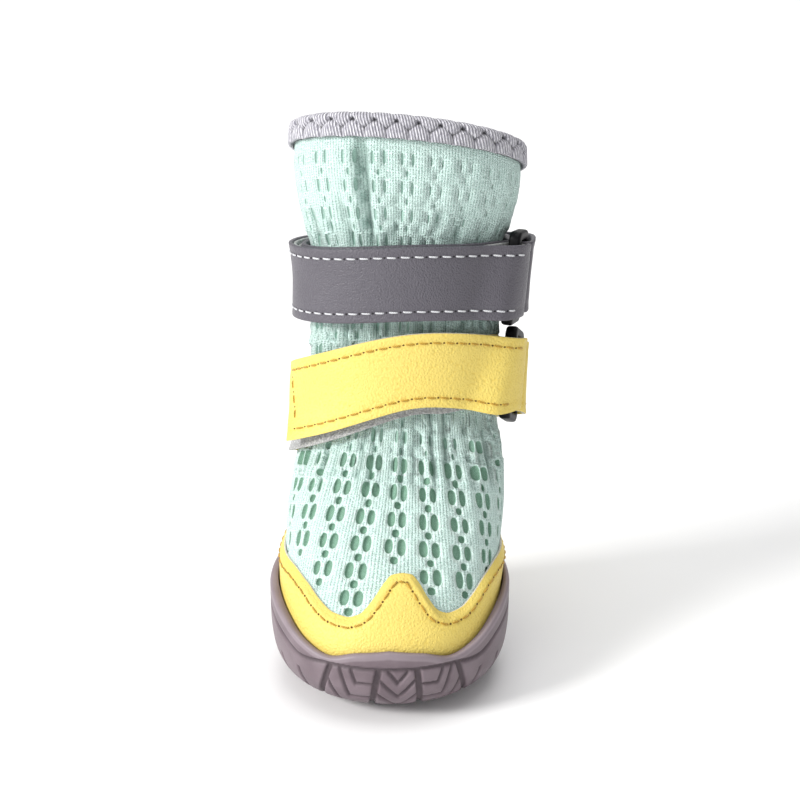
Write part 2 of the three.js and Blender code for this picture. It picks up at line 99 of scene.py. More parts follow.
# Heights round the foot, as [angle from the front, height].
SOLE_RIM = [
    [0, 16.6], [12, 15.8], [23, 14.2], [34, 15.4], [50, 18.2], [70, 20.4], [95, 21.0], [125, 20.6],
    [155, 20.4], [180, 21.2],
]
GUARD_EDGE = [
    [0, 29.3], [4.5, 29.0], [8, 27.6], [12, 25.0], [17, 22.4], [22, 21.6], [28, 21.8], [36, 23.2],
    [46, 25.2], [60, 26.4], [75, 26.2], [90, 26.2], [104, 26.6], [116, 27.6], [128, 31.0], [140, 35.2],
    [154, 36.8], [180, 36.5],
]
# droop lowers a strap's under layer at the front; lift is how far its end stands proud.
STRAPS = {
    "lower": {"height": 56.6, "front_rise": 9.4, "right_rise": 2.7, "end": -78, "droop": 1.9,
              "lift": 1.6, "leather": "yellow", "edge": "raw", "thread": "ochre"},
    "upper": {"height": 81.2, "front_rise": 3.2, "right_rise": 0.5, "end": -112, "droop": 0.2,
              "lift": 0.3, "leather": "grey", "edge": "grey", "thread": "white"},
}
STRAP_START = -176
TAB_START = 176
TAB_END = 148
TAPE_LIFT = 0.6  # air between the knit and a tape
RING_LIFT = 3.9  # height of a ring's middle over the knit
BESIDE_BAR = 0.23  # radians from the ring to where a tape leaves the boot for the bar
BAR_DROP = 0.3
LANDING = 0.56  # radians from the ring to where its upper layer lies down again

# ---- Curves ----


def follow(knots, values, at):
    """Smooth curve through the knots that never overshoots, flat beyond both ends."""
    knots, values = np.asarray(knots, float), np.asarray(values, float)
    rate = np.diff(values) / np.diff(knots)
    before, after = np.append(rate[0], rate), np.append(rate, rate[-1])
    same = before * after > 0
    slope = np.where(same, 2 * before * after / np.where(same, before + after, 1), 0)
    at = np.clip(at, knots[0], knots[-1])
    index = np.clip(np.searchsorted(knots, at, side="right") - 1, 0, len(rate) - 1)
    span = knots[index + 1] - knots[index]
    t = (at - knots[index]) / span
    ends = values[index] * (2 * t**3 - 3 * t**2 + 1) + values[index + 1] * (3 * t**2 - 2 * t**3)
    return ends + span * (slope[index] * (t**3 - 2 * t**2 + t) + slope[index + 1] * (t**3 - t**2))


def oval_radius(angle, front, side, squareness):
    """Radius of an oval at an angle; the higher its squareness, the fuller its corners."""
    along = np.abs(np.cos(angle) / front) ** squareness
    across = np.abs(np.sin(angle) / side) ** squareness
    return (along + across) ** (-1 / squareness)


def from_front(angle):
    """How far an angle is from the front, in degrees from 0 to 180."""
    return np.abs(np.degrees(np.arctan2(np.sin(angle), np.cos(angle))))


def paw_plan(angle):
    """A paw is widest at the ball and a little narrower at the waist."""
    waist = 0.025 * np.exp(-(((from_front(angle) - 108) / 24) ** 2))
    return 1 + 0.035 * np.cos(angle) - waist


def ease(low, high, value):
    """0 below low, 1 above high, and smooth in between."""
    t = np.clip((np.asarray(value, float) - low) / (high - low), 0, 1)
    return t * t * (3 - 2 * t)


def unit(vectors):
    return vectors / np.maximum(np.linalg.norm(vectors, axis=-1, keepdims=True), 1e-12)


def run_along(points):
    """Distance of each point from the first, along a line of points or each column of a grid."""
    steps = np.linalg.norm(np.diff(points, axis=0), axis=-1)
    return np.concatenate((np.zeros((1, *steps.shape[1:])), np.cumsum(steps, axis=0)))


def full_turn(count, ends=False):
    """Angles round the boot from back to back, with or without the last one."""
    return np.linspace(-math.pi, math.pi, count, endpoint=ends)


# ---- The last ----

LAST = np.array(LAST_ROWS, float).T
PLACES = np.linspace(0, 1, len(LAST_ROWS))


def last_point(place, angle):
    """Point on the outside of the upper; place runs from 0 at the hem to 1 at the collar."""
    place, angle = np.broadcast_arrays(place, angle)
    front_y, front_z, back_y, back_z, half_width, centre_x, squareness, foot, roll = (
        follow(PLACES, column, place) for column in LAST
    )
    half_depth = np.hypot(back_y - front_y, back_z - front_z) / 2
    radius = oval_radius(angle, half_depth, half_width, squareness)
    along = radius * np.cos(angle) / half_depth
    across = radius * np.sin(angle) * (1 + foot * (paw_plan(angle) - 1))
    y = (front_y + back_y) / 2 + along * (front_y - back_y) / 2
    z = (front_z + back_z) / 2 + along * (front_z - back_z) / 2 - across * np.tan(np.radians(roll))
    return np.stack((centre_x + across, y, z), -1)


STEP = 1e-3  # step in place, or in radians, over which slopes are taken


def last_frame(place, angle):
    """Unit vectors up the upper, round it and out of it, and the millimetres for a radian round it."""
    high, low = np.minimum(place + STEP, 1), np.maximum(place - STEP, 0)
    up = unit(last_point(high, angle) - last_point(low, angle))
    around = last_point(place, angle + STEP) - last_point(place, angle - STEP)
    pace = np.linalg.norm(around, axis=-1) / (2 * STEP)
    around = unit(around)
    return up, around, unit(np.cross(around, up)), pace


HALF_DEGREES = full_turn(721, ends=True)
GRID_PLACES = np.linspace(0, 1, 321)
GRID = last_point(GRID_PLACES[:, None], HALF_DEGREES[None, :])
GRID_NORMAL = last_frame(GRID_PLACES[:, None], HALF_DEGREES[None, :])[2]
GRID_RISE = run_along(GRID)
HALVINGS = 22  # steps of a search for a place


def read_grid(values, place, angle):
    """Value at a place and angle, read between the grid's points."""
    row = np.clip(np.asarray(place, float), 0, 1) * (len(GRID_PLACES) - 1)
    column = ((np.asarray(angle, float) + math.pi) / TURN % 1) * (len(HALF_DEGREES) - 1)
    i = np.minimum(row.astype(int), len(GRID_PLACES) - 2)
    j = np.minimum(column.astype(int), len(HALF_DEGREES) - 2)
    s, t = row - i, column - j
    low = values[i, j] * (1 - t) + values[i, j + 1] * t
    high = values[i + 1, j] * (1 - t) + values[i + 1, j + 1] * t
    return low * (1 - s) + high * s


def place_where(values, target, angle):
    """The place at which a grid of rising values reaches the target."""
    target, angle = np.broadcast_arrays(np.asarray(target, float), np.asarray(angle, float))
    low, high = np.zeros(target.shape), np.ones(target.shape)
    for _ in range(HALVINGS):
        middle = (low + high) / 2
        below = read_grid(values, middle, angle) < target
        low, high = np.where(below, middle, low), np.where(below, high, middle)
    return (low + high) / 2


def place_at_height(height, angle, offset):
    """Place at which the upper's face, moved out by offset, reaches a height."""
    if np.ndim(offset) == 0:
        return place_where(GRID[..., 2] + offset * GRID_NORMAL[..., 2], height, angle)
    height, angle, offset = np.broadcast_arrays(height, angle, offset)
    low, high = np.zeros(height.shape), np.ones(height.shape)
    for _ in range(HALVINGS):
        middle = (low + high) / 2
        level = read_grid(GRID[..., 2], middle, angle)
        level = level + offset * read_grid(GRID_NORMAL[..., 2], middle, angle)
        low, high = np.where(level < height, middle, low), np.where(level < height, high, middle)
    return (low + high) / 2


def upper_point(place, angle, offset):
    """Point at a distance out of the last's face."""
    normal = last_frame(place, angle)[2]
    return last_point(place, angle) + normal * np.asarray(offset, float)[..., None]


def upper_at_height(height, angle, offset):
    """Point at a distance out of the last's face, at a height above the floor."""
    point = upper_point(place_at_height(height, angle, offset), angle, offset)
    point[..., 2] = height
    return point


def strap_height(strap, angle):
    """Height of a strap's middle line."""
    return strap["height"] + strap["front_rise"] * np.cos(angle) + strap["right_rise"] * np.sin(angle)


# ---- Creases ----

CREASES = [
    # angle, lowest, highest, depth, half width in degrees, lean in degrees for 10 mm up
    [-27, 84, 113, 2.4, 3.9, -1.5],  # the deep fold of the shaft
    [-20, 84, 110, -0.6, 4.4, -0.5],  # and the swell beside it
    [-41, 84, 101, 0.9, 4.0, -4.0],
    [-52, 84, 98, 0.6, 3.5, -5.0],
    [-16, 84, 99, 0.5, 2.8, 0.5],
    [-7, 84, 102, 0.85, 3.2, 1.0],
    [1, 84, 98, 0.6, 2.6, 2.5],
    [8, 84, 101, 0.8, 3.0, 3.5],
    [18, 84, 99, 0.55, 3.0, 5.0],
    [33, 84, 98, 0.6, 5.0, 6.0],
    [52, 84, 94, 0.5, 4.0, 4.0],
    [-66, 84, 97, 0.6, 5.0, -3.0],
    [-88, 82, 96, 0.5, 5.0, -2.0],
    [-121, 78, 92, 0.5, 5.5, -2.0],
    [-152, 76, 90, 0.5, 5.0, 1.0],
    [176, 74, 92, 0.7, 6.0, 1.5],
    [140, 76, 90, 0.5, 5.0, 2.0],
    [112, 80, 92, 0.4, 5.0, 1.0],
    [-72, 62, 82, 0.6, 4.0, 1.0],  # gathers between the straps
    [-58, 62, 82, 0.7, 3.5, 0.0],
    [-45, 62, 82, 0.5, 3.0, 1.0],
    [-33, 62, 82, 0.8, 3.5, 0.0],
    [-22, 62, 82, 0.5, 2.8, -1.0],
    [-12, 62, 82, 0.7, 3.0, 0.5],
    [-2, 62, 82, 0.6, 2.8, 0.0],
    [9, 62, 82, 0.8, 3.2, 1.0],
    [20, 62, 82, 0.5, 3.0, 0.0],
    [31, 62, 82, 0.7, 3.5, -1.0],
    [45, 62, 82, 0.6, 3.5, 0.0],
    [60, 62, 82, 0.6, 4.0, 0.0],
    [-92, 58, 80, 0.6, 5.0, 0.0],
    [-115, 52, 76, 0.6, 5.0, 0.0],
    [-138, 50, 74, 0.7, 5.0, 1.0],
    [-162, 48, 74, 0.6, 4.5, 0.0],
    [172, 48, 74, 0.8, 5.0, 0.0],
    [148, 50, 74, 0.6, 5.0, 0.0],
    [122, 54, 76, 0.6, 5.0, 0.0],
    [-66, 40, 60, 0.5, 3.5, 3.0],  # gathers running down over the instep
    [-52, 40, 62, 0.6, 3.2, 2.5],
    [-40, 41, 62, 0.45, 2.8, 2.0],
    [-29, 42, 62, 0.65, 3.0, 1.5],
    [-18, 44, 62, 0.4, 2.5, 1.0],
    [-8, 43, 62, 0.55, 2.8, 0.5],
    [2, 45, 62, 0.4, 2.5, 0.0],
    [11, 43, 62, 0.6, 2.8, -0.5],
    [22, 44, 62, 0.4, 2.5, -1.0],
    [33, 42, 62, 0.6, 3.0, -1.5],
    [46, 41, 62, 0.5, 3.0, -2.0],
    [60, 40, 60, 0.5, 3.5, -2.5],
]
CREASE_END = 4.0  # millimetres over which a crease runs out
CREASE_LIMITS = (-2.5, 0.6)  # the furthest that the knit sinks in and stands out
UNDER_STRAP = 0.25  # share of a crease that is left where a strap presses on it
STRAP_PRESS = 0.35  # how far a strap presses the knit in
RIPPLES = 48  # fine gathers round the leg
RIPPLE_DEPTH = 0.45


def crease(place, angle):
    """How far the knit stands out of the last, or sinks into it, in millimetres: fine gathers, the
    creases, and the dents under the straps."""
    height = read_grid(GRID[..., 2], place, angle)
    gathered = ease(36, 48, height) * (1 - 0.85 * ease(88, 104, height))
    beside = np.exp(-(((height - 45) / 5) ** 2)) + np.exp(-(((height - 71) / 7) ** 2))
    phase = RIPPLES * angle + 0.9 * np.sin(5 * angle) + 0.04 * height
    moved = RIPPLE_DEPTH * (gathered + 0.7 * beside) * np.cos(phase)
    for centre, low, high, depth, width, lean in CREASES:
        middle = (low + high) / 2
        line = centre + lean * (height - middle) / 10
        away = (np.degrees(angle) - line + 180) % 360 - 180
        share = ease(low - CREASE_END, low + CREASE_END, height)
        share = share * (1 - ease(high - CREASE_END, high + CREASE_END, height))
        swell = np.exp(-(((np.abs(away) - 1.9 * width) / width) ** 2))  # the knit stands up on both sides
        moved = moved - depth * share * (np.exp(-((away / width) ** 2)) - 0.35 * swell)
    for strap in STRAPS.values():
        away = np.abs(height - strap_height(strap, angle))
        pressed = 1 - ease(STRAP_WIDTH / 2 - 1, STRAP_WIDTH / 2 + 2.5, away)
        moved = moved * (1 - (1 - UNDER_STRAP) * pressed) - STRAP_PRESS * pressed
    return np.clip(moved, *CREASE_LIMITS)


# ---- Meshes ----


class Shape:
    """Points and faces gathered into one mesh. Each corner carries its place in the pattern, in
    millimetres or repeats, and its relief: how deep it lies, and one spare value."""

    def __init__(self):
        self.points = []
        self.blocks = []
        self.count = 0

    def add(self, points, faces, pattern, relief=None, finish=0):
        points = np.asarray(points, float).reshape(-1, 3)
        faces = np.asarray(faces, int)
        relief = np.zeros(pattern.shape) if relief is None else relief
        finish = np.broadcast_to(finish, len(faces))
        self.blocks.append((faces + self.count, pattern, relief, finish))
        self.points.append(points)
        self.count += len(points)

    def join(self, faces, pattern, relief=None, finish=0):
        """Adds faces between points that are there already."""
        self.add(np.zeros((0, 3)), faces - self.count, pattern, relief, finish)

    def mesh(self, name, sharp):
        """The finished mesh; edges that turn by more than sharp degrees stay crisp."""
        mesh = bpy.data.meshes.new(name)
        points = np.concatenate(self.points) * MM
        corners = np.concatenate([b[0].reshape(-1) for b in self.blocks])
        sizes = np.concatenate([np.full(len(b[0]), b[0].shape[1]) for b in self.blocks])
        mesh.vertices.add(len(points))
        mesh.vertices.foreach_set("co", points.reshape(-1).astype(np.float32))
        mesh.loops.add(len(corners))
        mesh.loops.foreach_set("vertex_index", corners.astype(np.int32))
        mesh.polygons.add(len(sizes))
        starts = np.append(0, np.cumsum(sizes)[:-1])
        mesh.polygons.foreach_set("loop_start", starts.astype(np.int32))
        finishes = np.concatenate([b[3] for b in self.blocks])
        mesh.polygons.foreach_set("material_index", finishes.astype(np.int32))
        for layer, part in (("pattern", 1), ("relief", 2)):
            values = np.concatenate([b[part].reshape(-1, 2) for b in self.blocks])
            made = mesh.uv_layers.new(name=layer)
            made.data.foreach_set("uv", values.reshape(-1).astype(np.float32))
        mesh.update(calc_edges=True)
        mesh.validate()
        work = bmesh.new()
        work.from_mesh(mesh)
        bmesh.ops.recalc_face_normals(work, faces=work.faces[:])
        work.to_mesh(mesh)
        work.free()
        mesh.shade_smooth()
        if sharp is not None:
            mesh.set_sharp_from_angle(angle=math.radians(sharp))
        return mesh


def grid_faces(rows, columns, close_rows):
    """Corner indexes of a grid's faces, and the same counted without wrapping round."""
    faces_down = rows if close_rows else rows - 1
    row, column = np.meshgrid(np.arange(faces_down), np.arange(columns), indexing="ij")
    rows_at = np.stack((row, row, row + 1, row + 1), -1).reshape(-1, 4)
    columns_at = np.stack((column, column + 1, column + 1, column), -1).reshape(-1, 4)
    return (rows_at % rows) * columns + columns_at % columns, rows_at, columns_at


def add_skin(shape, points, pattern, relief=None, finish=0, close_rows=False, caps=False):
    """Skins a grid of points that closes round its columns. pattern and relief have one more column
    than it, and one more row where its rows close too. finish is a number, or one for each face."""
    rows, columns = points.shape[:2]
    faces, rows_at, columns_at = grid_faces(rows, columns, close_rows)
    relief = None if relief is None else relief[rows_at, columns_at]
    finishes = finish if np.ndim(finish) == 0 else np.asarray(finish)[rows_at[:, 0], columns_at[:, 0]]
    first = shape.count
    shape.add(points, faces, pattern[rows_at, columns_at], relief, finishes)
    if caps:
        add_caps(shape, first, rows, columns, pattern, finish)


def add_caps(shape, first, rows, columns, pattern, finish):
    """Closes both ends of a skin whose first point has the given number."""
    for row in (0, rows - 1):
        ring = first + row * columns + np.arange(columns)
        shape.join(ring[None], pattern[row, :columns][None], finish=finish)


def piece(name, shape, finishes, slot, *nodes, sharp=None):
    """Makes a shape into a piece of the boot, in place of the nodes it stands for."""
    mesh = shape.mesh(name, sharp)
    made = bpy.data.objects.new(name, mesh)
    bpy.context.scene.collection.objects.link(made)
    for finish in finishes:
        mesh.materials.append(FINISHES[finish])
    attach(made, "root")
    if nodes:
        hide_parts(*nodes)


def wrapped(values):
    """Repeats the first column at the end, for a grid that closes round."""
    return np.concatenate((values, values[:, :1]), axis=1)


def pattern_of(columns, rows):
    """Pattern coordinates of a grid from its column and row values."""
    across, along = np.meshgrid(columns, rows)
    return np.stack((across, along), -1)


# ---- Finishes ----


class Signal:
    """One output in a finish's node tree. Sums of signals and numbers add their Math nodes."""

    def __init__(self, tree, socket=None):
        self.tree = tree
        self.socket = socket

    def node(self, kind, settings=None, sockets=None, output=0):
        """Adds a node: its settings first, then the values or links of its sockets."""
        made = self.tree.nodes.new(kind)
        for name, value in (settings or {}).items():
            setattr(made, name, value)
        for name, value in (sockets or {}).items():
            if isinstance(value, Signal):
                self.tree.links.new(value.socket, made.inputs[name])
            else:
                made.inputs[name].default_value = value
        return Signal(self.tree, made.outputs[output] if len(made.outputs) else None)

    def maths(self, operation, *values):
        return self.node("ShaderNodeMath", {"operation": operation}, dict(enumerate(values)))

    def __add__(self, other):
        return self.maths("ADD", self, other)

    def __radd__(self, other):
        return self.maths("ADD", other, self)

    def __sub__(self, other):
        return self.maths("SUBTRACT", self, other)

    def __rsub__(self, other):
        return self.maths("SUBTRACT", other, self)

    def __mul__(self, other):
        return self.maths("MULTIPLY", self, other)

    def __rmul__(self, other):
        return self.maths("MULTIPLY", other, self)

    def __pow__(self, other):
        return self.maths("POWER", self, other)

    def __abs__(self):
        return self.maths("ABSOLUTE", self)

    def wave(self):
        """Sine of this signal, counted in whole turns."""
        return self.maths("SINE", self * TURN)

    def fraction(self):
        return self.maths("FRACT", self)

    def ramp(self, low, high):
        """0 below low, 1 above high."""
        settings = {"interpolation_type": "SMOOTHSTEP"}
        sockets = {"Value": self, "From Min": low, "From Max": high}
        return self.node("ShaderNodeMapRange", settings, sockets)


def noise(signal, size, detail, where=None):
    """Noise with features about size millimetres across, or size repeats of a given vector."""
    scale = 1 / (size * MM) if where is None else 1 / size
    where = signal.node("ShaderNodeTexCoord", output="Object") if where is None else where
    return signal.node("ShaderNodeTexNoise", None, {"Scale": scale, "Detail": detail, "Vector": where})


def cells(signal, size, feature):
    """Cells about size millimetres across."""
    sockets = {"Scale": 1 / (size * MM), "Vector": signal.node("ShaderNodeTexCoord", output="Object")}
    return signal.node("ShaderNodeTexVoronoi", {"feature": feature}, sockets, output="Distance")


def layer(signal, name):
    """The two values that each corner carries in a named layer."""
    at = signal.node("ShaderNodeUVMap", {"uv_map": name})
    first = signal.node("ShaderNodeSeparateXYZ", None, {0: at}, output=0)
    second = signal.node("ShaderNodeSeparateXYZ", None, {0: at}, output=1)
    return first, second, at


def stretched(signal, vector, scale):
    """A vector multiplied by three factors."""
    return signal.node("ShaderNodeVectorMath", {"operation": "MULTIPLY"}, {0: vector, 1: scale})


def mixed(signal, factor, first, second):
    """From the first colour at 0 to the second at 1."""
    first, second = ((*c, 1) if isinstance(c, tuple) else c for c in (first, second))
    settings = {"data_type": "RGBA", "clamp_factor": True}
    return signal.node("ShaderNodeMix", settings, {0: factor, 6: first, 7: second}, output=2)


def start_finish(name):
    """A new material and the signal that its nodes grow from."""
    material = bpy.data.materials.new(name)
    material.use_nodes = True
    material.node_tree.nodes.clear()
    return material, Signal(material.node_tree)


def end_finish(material, colour, roughness, height, depth, **constants):
    """Joins a finish's colour, roughness and height, with depth in millimetres for a height of 1."""
    signal = Signal(material.node_tree)
    relief = {"Height": height, "Strength": 1.0, "Distance": depth * MM}
    bump = signal.node("ShaderNodeBump", None, relief)
    sockets = {"Base Color": colour, "Roughness": roughness, "Normal": bump}
    sockets.update({key.replace("_", " "): value for key, value in constants.items()})
    shader = signal.node("ShaderNodeBsdfPrincipled", None, sockets)
    signal.node("ShaderNodeOutputMaterial", None, {"Surface": shader})
    return material


def shade(colour, factor):
    """A colour made darker."""
    return tuple(c * factor for c in colour)


COLOURS = {  # the darker and the lighter colour of each material
    "mint": ((0.3, 0.5, 0.43), (0.73, 0.92, 0.87)),
    "padding over the toes": ((0.15, 0.3, 0.21), (0.29, 0.48, 0.37)),
    "padding on the shaft": ((0.28, 0.46, 0.39), (0.46, 0.66, 0.58)),
    "jersey": ((0.2, 0.3, 0.25), (0.36, 0.5, 0.43)),
    "yellow": ((0.68, 0.46, 0.05), (0.82, 0.64, 0.155)),
    "grey": ((0.055, 0.05, 0.062), (0.105, 0.098, 0.117)),
    "cut edge": ((0.5, 0.46, 0.38), (0.8, 0.77, 0.68)),
    "loop": ((0.26, 0.26, 0.26), (0.62, 0.63, 0.62)),
    "ochre": ((0.35, 0.18, 0.01), (0.62, 0.36, 0.02)),
    "white": ((0.5, 0.5, 0.54), (0.82, 0.83, 0.85)),
    "rubber": ((0.15, 0.113, 0.13), (0.195, 0.152, 0.172)),
    "melange": ((0.46, 0.45, 0.51), (0.86, 0.85, 0.9)),
    "felt": ((0.24, 0.26, 0.25), (0.44, 0.47, 0.46)),
    "plastic": ((0.002, 0.002, 0.003), (0.005, 0.005, 0.006)),
    "floor": ((0.93, 0.93, 0.93), (0.96, 0.96, 0.96)),
}
# painted highlight on the rims of the openwork's holes
HOLE_RIM_HIGHLIGHT = (0.76, 0.93, 0.87)
LAYERED_EDGE = (0.48, 0.45, 0.4)
RUBBED_RUBBER = (0.4, 0.34, 0.37)
SHADED_RUBBER = (0.07, 0.052, 0.06)
SHADE_BETWEEN_STRANDS = (0.17, 0.165, 0.2)
BRAID_PIT_SHADE = (0.035, 0.035, 0.045)

WALES = 10  # fine ribs in one column of the openwork
COURSES = 11  # rows of stitches in one row of it


def knit_finish():
    """Fine ribs of little V stitches, with a soft variation of the dye, a painted highlight on the holes'
    rims, and painted shade down the holes and in the folds.
    """
    dark, colour = COLOURS["mint"]
    material, start = start_finish("mint_knit")
    across, along, _ = layer(start, "pattern")
    depth, fold, _ = layer(start, "relief")
    wander = noise(start, 1.3, 2) - 0.5
    off_wale = abs((across * WALES + wander * 0.5).fraction() * 2 - 1)
    ridge = 1 - off_wale**1.8
    slack = noise(start, 0.8, 1) - 0.5
    stitch = (along * COURSES + off_wale * 0.5 + wander * 1.2 + slack * 1.6).wave() * 0.5 + 0.5
    cloudy = noise(start, 9, 2)
    fibre = noise(start, 0.3, 3)
    lit = (ridge * 0.36 + stitch * 0.34 + fibre * 0.85).ramp(0.36, 1.0)
    body = mixed(start, lit, dark, colour)
    body = mixed(start, cloudy.ramp(0.35, 0.7) * 0.2, body, shade(colour, 0.88))
    # painted highlight where the yarn rounds into each hole
    body = mixed(start, depth.ramp(0.03, 0.1) * 0.55, body, HOLE_RIM_HIGHLIGHT)
    # painted shade: the walls of each hole darken towards its bottom
    body = mixed(start, depth.ramp(0.12, 0.5) * 0.6, body, dark)
    # painted shade in the knit's folds and gathers
    body = mixed(start, fold.ramp(0.15, 1.0) * 0.65, body, shade(dark, 0.55))
    height = ridge * 0.5 + stitch * 0.45 + fibre * 0.8
    return end_finish(material, body, 0.9, height, 0.32, Sheen_Weight=0.15, Sheen_Roughness=0.5)


def backing_finish():
    """The padding's cover seen at the bottom of the openwork's holes, paler on the shaft."""
    material, start = start_finish("backing_net")
    across, along, _ = layer(start, "pattern")
    net = (across * 16).wave() * (along * 18).wave()
    fibre = noise(start, 0.3, 3)
    _, shaft, _ = layer(start, "relief")
    fleck = (net * 0.3 + fibre).ramp(0.2, 1.0)
    toes = mixed(start, fleck, *COLOURS["padding over the toes"])
    body = mixed(start, shaft, toes, mixed(start, fleck, *COLOURS["padding on the shaft"]))
    return end_finish(material, body, 0.95, net * 0.4 + fibre * 0.5, 0.12, Sheen_Weight=0.1)


def lining_finish():
    """Smooth jersey inside the boot."""
    material, start = start_finish("jersey_lining")
    across, along, _ = layer(start, "pattern")
    off_wale = abs((across * 16).fraction() * 2 - 1)
    ridge = 1 - off_wale**2
    stitch = (along * 12 + off_wale * 0.5).wave() * 0.5 + 0.5
    fibre = noise(start, 0.3, 3)
    lit = (ridge * 0.5 + stitch * 0.3 + fibre * 0.4).ramp(0.1, 1.0)
    body = mixed(start, lit, *COLOURS["jersey"])
    height = ridge * 0.6 + stitch * 0.3 + fibre * 0.2
    return end_finish(material, body, 0.95, height, 0.12, Sheen_Weight=0.3)


def leather_finish(leather, grain, roughness):
    """Coated leather: a pebbled grain of small cells, with painted shade where stitches pull it in."""
    dark, colour = COLOURS[leather]
    material, start = start_finish(f"{leather}_leather")
    pebble = cells(start, grain, feature="SMOOTH_F1")
    crack = cells(start, grain * 1.7, feature="DISTANCE_TO_EDGE")
    fine = noise(start, 0.3, 3)
    broad = noise(start, 7, 3)
    sunk, _, _ = layer(start, "relief")
    grainy = pebble * -0.9 + crack.ramp(0.0, 0.2) * 0.12 + fine * 0.3
    body = mixed(start, (grainy * 0.7 + 0.85).ramp(0.1, 0.8), dark, colour)
    body = mixed(start, broad.ramp(0.4, 0.75) * 0.3, body, shade(colour, 0.88))
    # painted shade in the dents beside the stitches
    body = mixed(start, sunk.ramp(0.0, 1.0) * 0.5, body, dark)
    rough = roughness + (broad - 0.5) * 0.16 + fine * 0.06
    return end_finish(material, body, rough, grainy, 0.17, Specular_IOR_Level=0.45)


def raw_edge_finish():
    """Cut edge of the leather, where its pale fibres show."""
    material, start = start_finish("raw_leather_edge")
    fuzz = noise(start, 0.25, 4)
    layers = noise(start, 1.4, 2)
    body = mixed(start, fuzz.ramp(0.3, 0.7), *COLOURS["cut edge"])
    body = mixed(start, layers.ramp(0.45, 0.7) * 0.4, body, LAYERED_EDGE)
    return end_finish(material, body, 0.95, fuzz, 0.15)


def loop_finish():
    """Brushed loop tape: a mat of tiny curls."""
    material, start = start_finish("brushed_loop_tape")
    curls = cells(start, 0.4, feature="SMOOTH_F1")
    fuzz = noise(start, 0.3, 4)
    height = curls * -0.8 + fuzz
    body = mixed(start, height.ramp(-0.1, 0.7), *COLOURS["loop"])
    return end_finish(material, body, 0.95, height, 0.2, Sheen_Weight=0.4)


def thread_finish(thread):
    """Sewing thread of twisted plies."""
    material, start = start_finish(f"{thread}_thread")
    along, around, _ = layer(start, "pattern")
    ply = (along * 2.6 + around * 2).wave() * 0.5 + 0.5
    fuzz = noise(start, 0.15, 2)
    body = mixed(start, (ply * 0.8 + fuzz * 0.3).ramp(0.1, 0.8), *COLOURS[thread])
    return end_finish(material, body, 0.6, ply, 0.08, Sheen_Weight=0.2)


def hole_finish(name, colour):
    """The torn, shadowed leather in a needle hole."""
    material, start = start_finish(name)
    fuzz = noise(start, 0.12, 2)
    body = mixed(start, fuzz.ramp(0.3, 0.7), shade(colour, 0.5), colour)
    return end_finish(material, body, 0.95, fuzz, 0.05)


def rubber_finish():
    """Moulded rubber with a fine satin texture, painted shade in its grooves, and rubbed pale on its
    edges.
    """
    material, start = start_finish("moulded_rubber")
    sunk, edge, _ = layer(start, "relief")
    spark = noise(start, 0.28, 3)
    cloudy = noise(start, 6, 3)
    body = mixed(start, cloudy.ramp(0.3, 0.7), *COLOURS["rubber"])
    body = mixed(start, edge * 0.45, body, RUBBED_RUBBER)
    # painted shade in the tread's grooves
    body = mixed(start, sunk.ramp(0.05, 0.9) * 0.85, body, SHADED_RUBBER)
    rough = 0.46 + (cloudy - 0.5) * 0.15 + sunk * 0.2
    return end_finish(material, body, rough, spark, 0.05, Specular_IOR_Level=0.4)


def melange_finish():
    """Braided melange yarn: strands of two greys that follow the braid, with painted shade between the
    strands, in the braid's pits and on its hidden rows.
    """
    material, start = start_finish("melange_binding")
    across, along, at = layer(start, "pattern")
    sunk, _, _ = layer(start, "relief")
    strand = (across * 1.5 + along * 0.35).wave() * 0.5 + 0.5
    streaks = noise(start, 1.0, 3, stretched(start, at, (4.5, 0.9, 1)))
    fuzz = noise(start, 0.22, 3)
    body = mixed(start, streaks.ramp(0.38, 0.6), *COLOURS["melange"])
    # painted shade between the strands
    body = mixed(start, (1 - strand).ramp(0.35, 1.0) * 0.75, body, SHADE_BETWEEN_STRANDS)
    # painted shade in the braid's pits and seam
    body = mixed(start, sunk.ramp(0.2, 1.0) * 0.9, body, BRAID_PIT_SHADE)
    return end_finish(material, body, 0.92, strand * 0.9 + fuzz * 0.4, 0.35, Sheen_Weight=0.2)


def felt_finish():
    """Grey felt of short pressed hairs."""
    material, start = start_finish("pressed_felt")
    fibre = noise(start, 0.5, 5)
    hairs = noise(start, 1.5, 4)
    body = mixed(start, fibre.ramp(0.3, 0.7), *COLOURS["felt"])
    return end_finish(material, body, 0.98, fibre + hairs * 0.5, 0.25, Sheen_Weight=0.4)


def plastic_finish():
    """Black moulded plastic, a little uneven in its gloss."""
    material, start = start_finish("black_plastic")
    swirl = noise(start, 3, 2)
    fine = noise(start, 0.2, 2)
    body = mixed(start, swirl, *COLOURS["plastic"])
    return end_finish(material, body, 0.36 + swirl * 0.14, fine, 0.01, Specular_IOR_Level=0.16)


def floor_finish():
    """A pale, matt floor."""
    material, start = start_finish("pale_floor")
    cloudy = noise(start, 40, 2)
    body = mixed(start, cloudy, *COLOURS["floor"])
    return end_finish(material, body, 0.9, cloudy, 0.01)


FINISHES = {
    "knit": knit_finish(),
    "backing": backing_finish(),
    "lining": lining_finish(),
    "yellow": leather_finish("yellow", grain=0.45, roughness=0.5),
    "grey": leather_finish("grey", grain=0.32, roughness=0.36),
    "raw": raw_edge_finish(),
    "loop": loop_finish(),
    "ochre": thread_finish("ochre"),
    "white": thread_finish("white"),
    "ochre hole": hole_finish("needle_hole_in_yellow", (0.16, 0.07, 0.01)),
    "white hole": hole_finish("needle_hole_in_grey", (0.02, 0.018, 0.022)),
    "rubber": rubber_finish(),
    "melange": melange_finish(),
    "felt": felt_finish(),
    "plastic": plastic_finish(),
}

# ---- Knitted upper ----

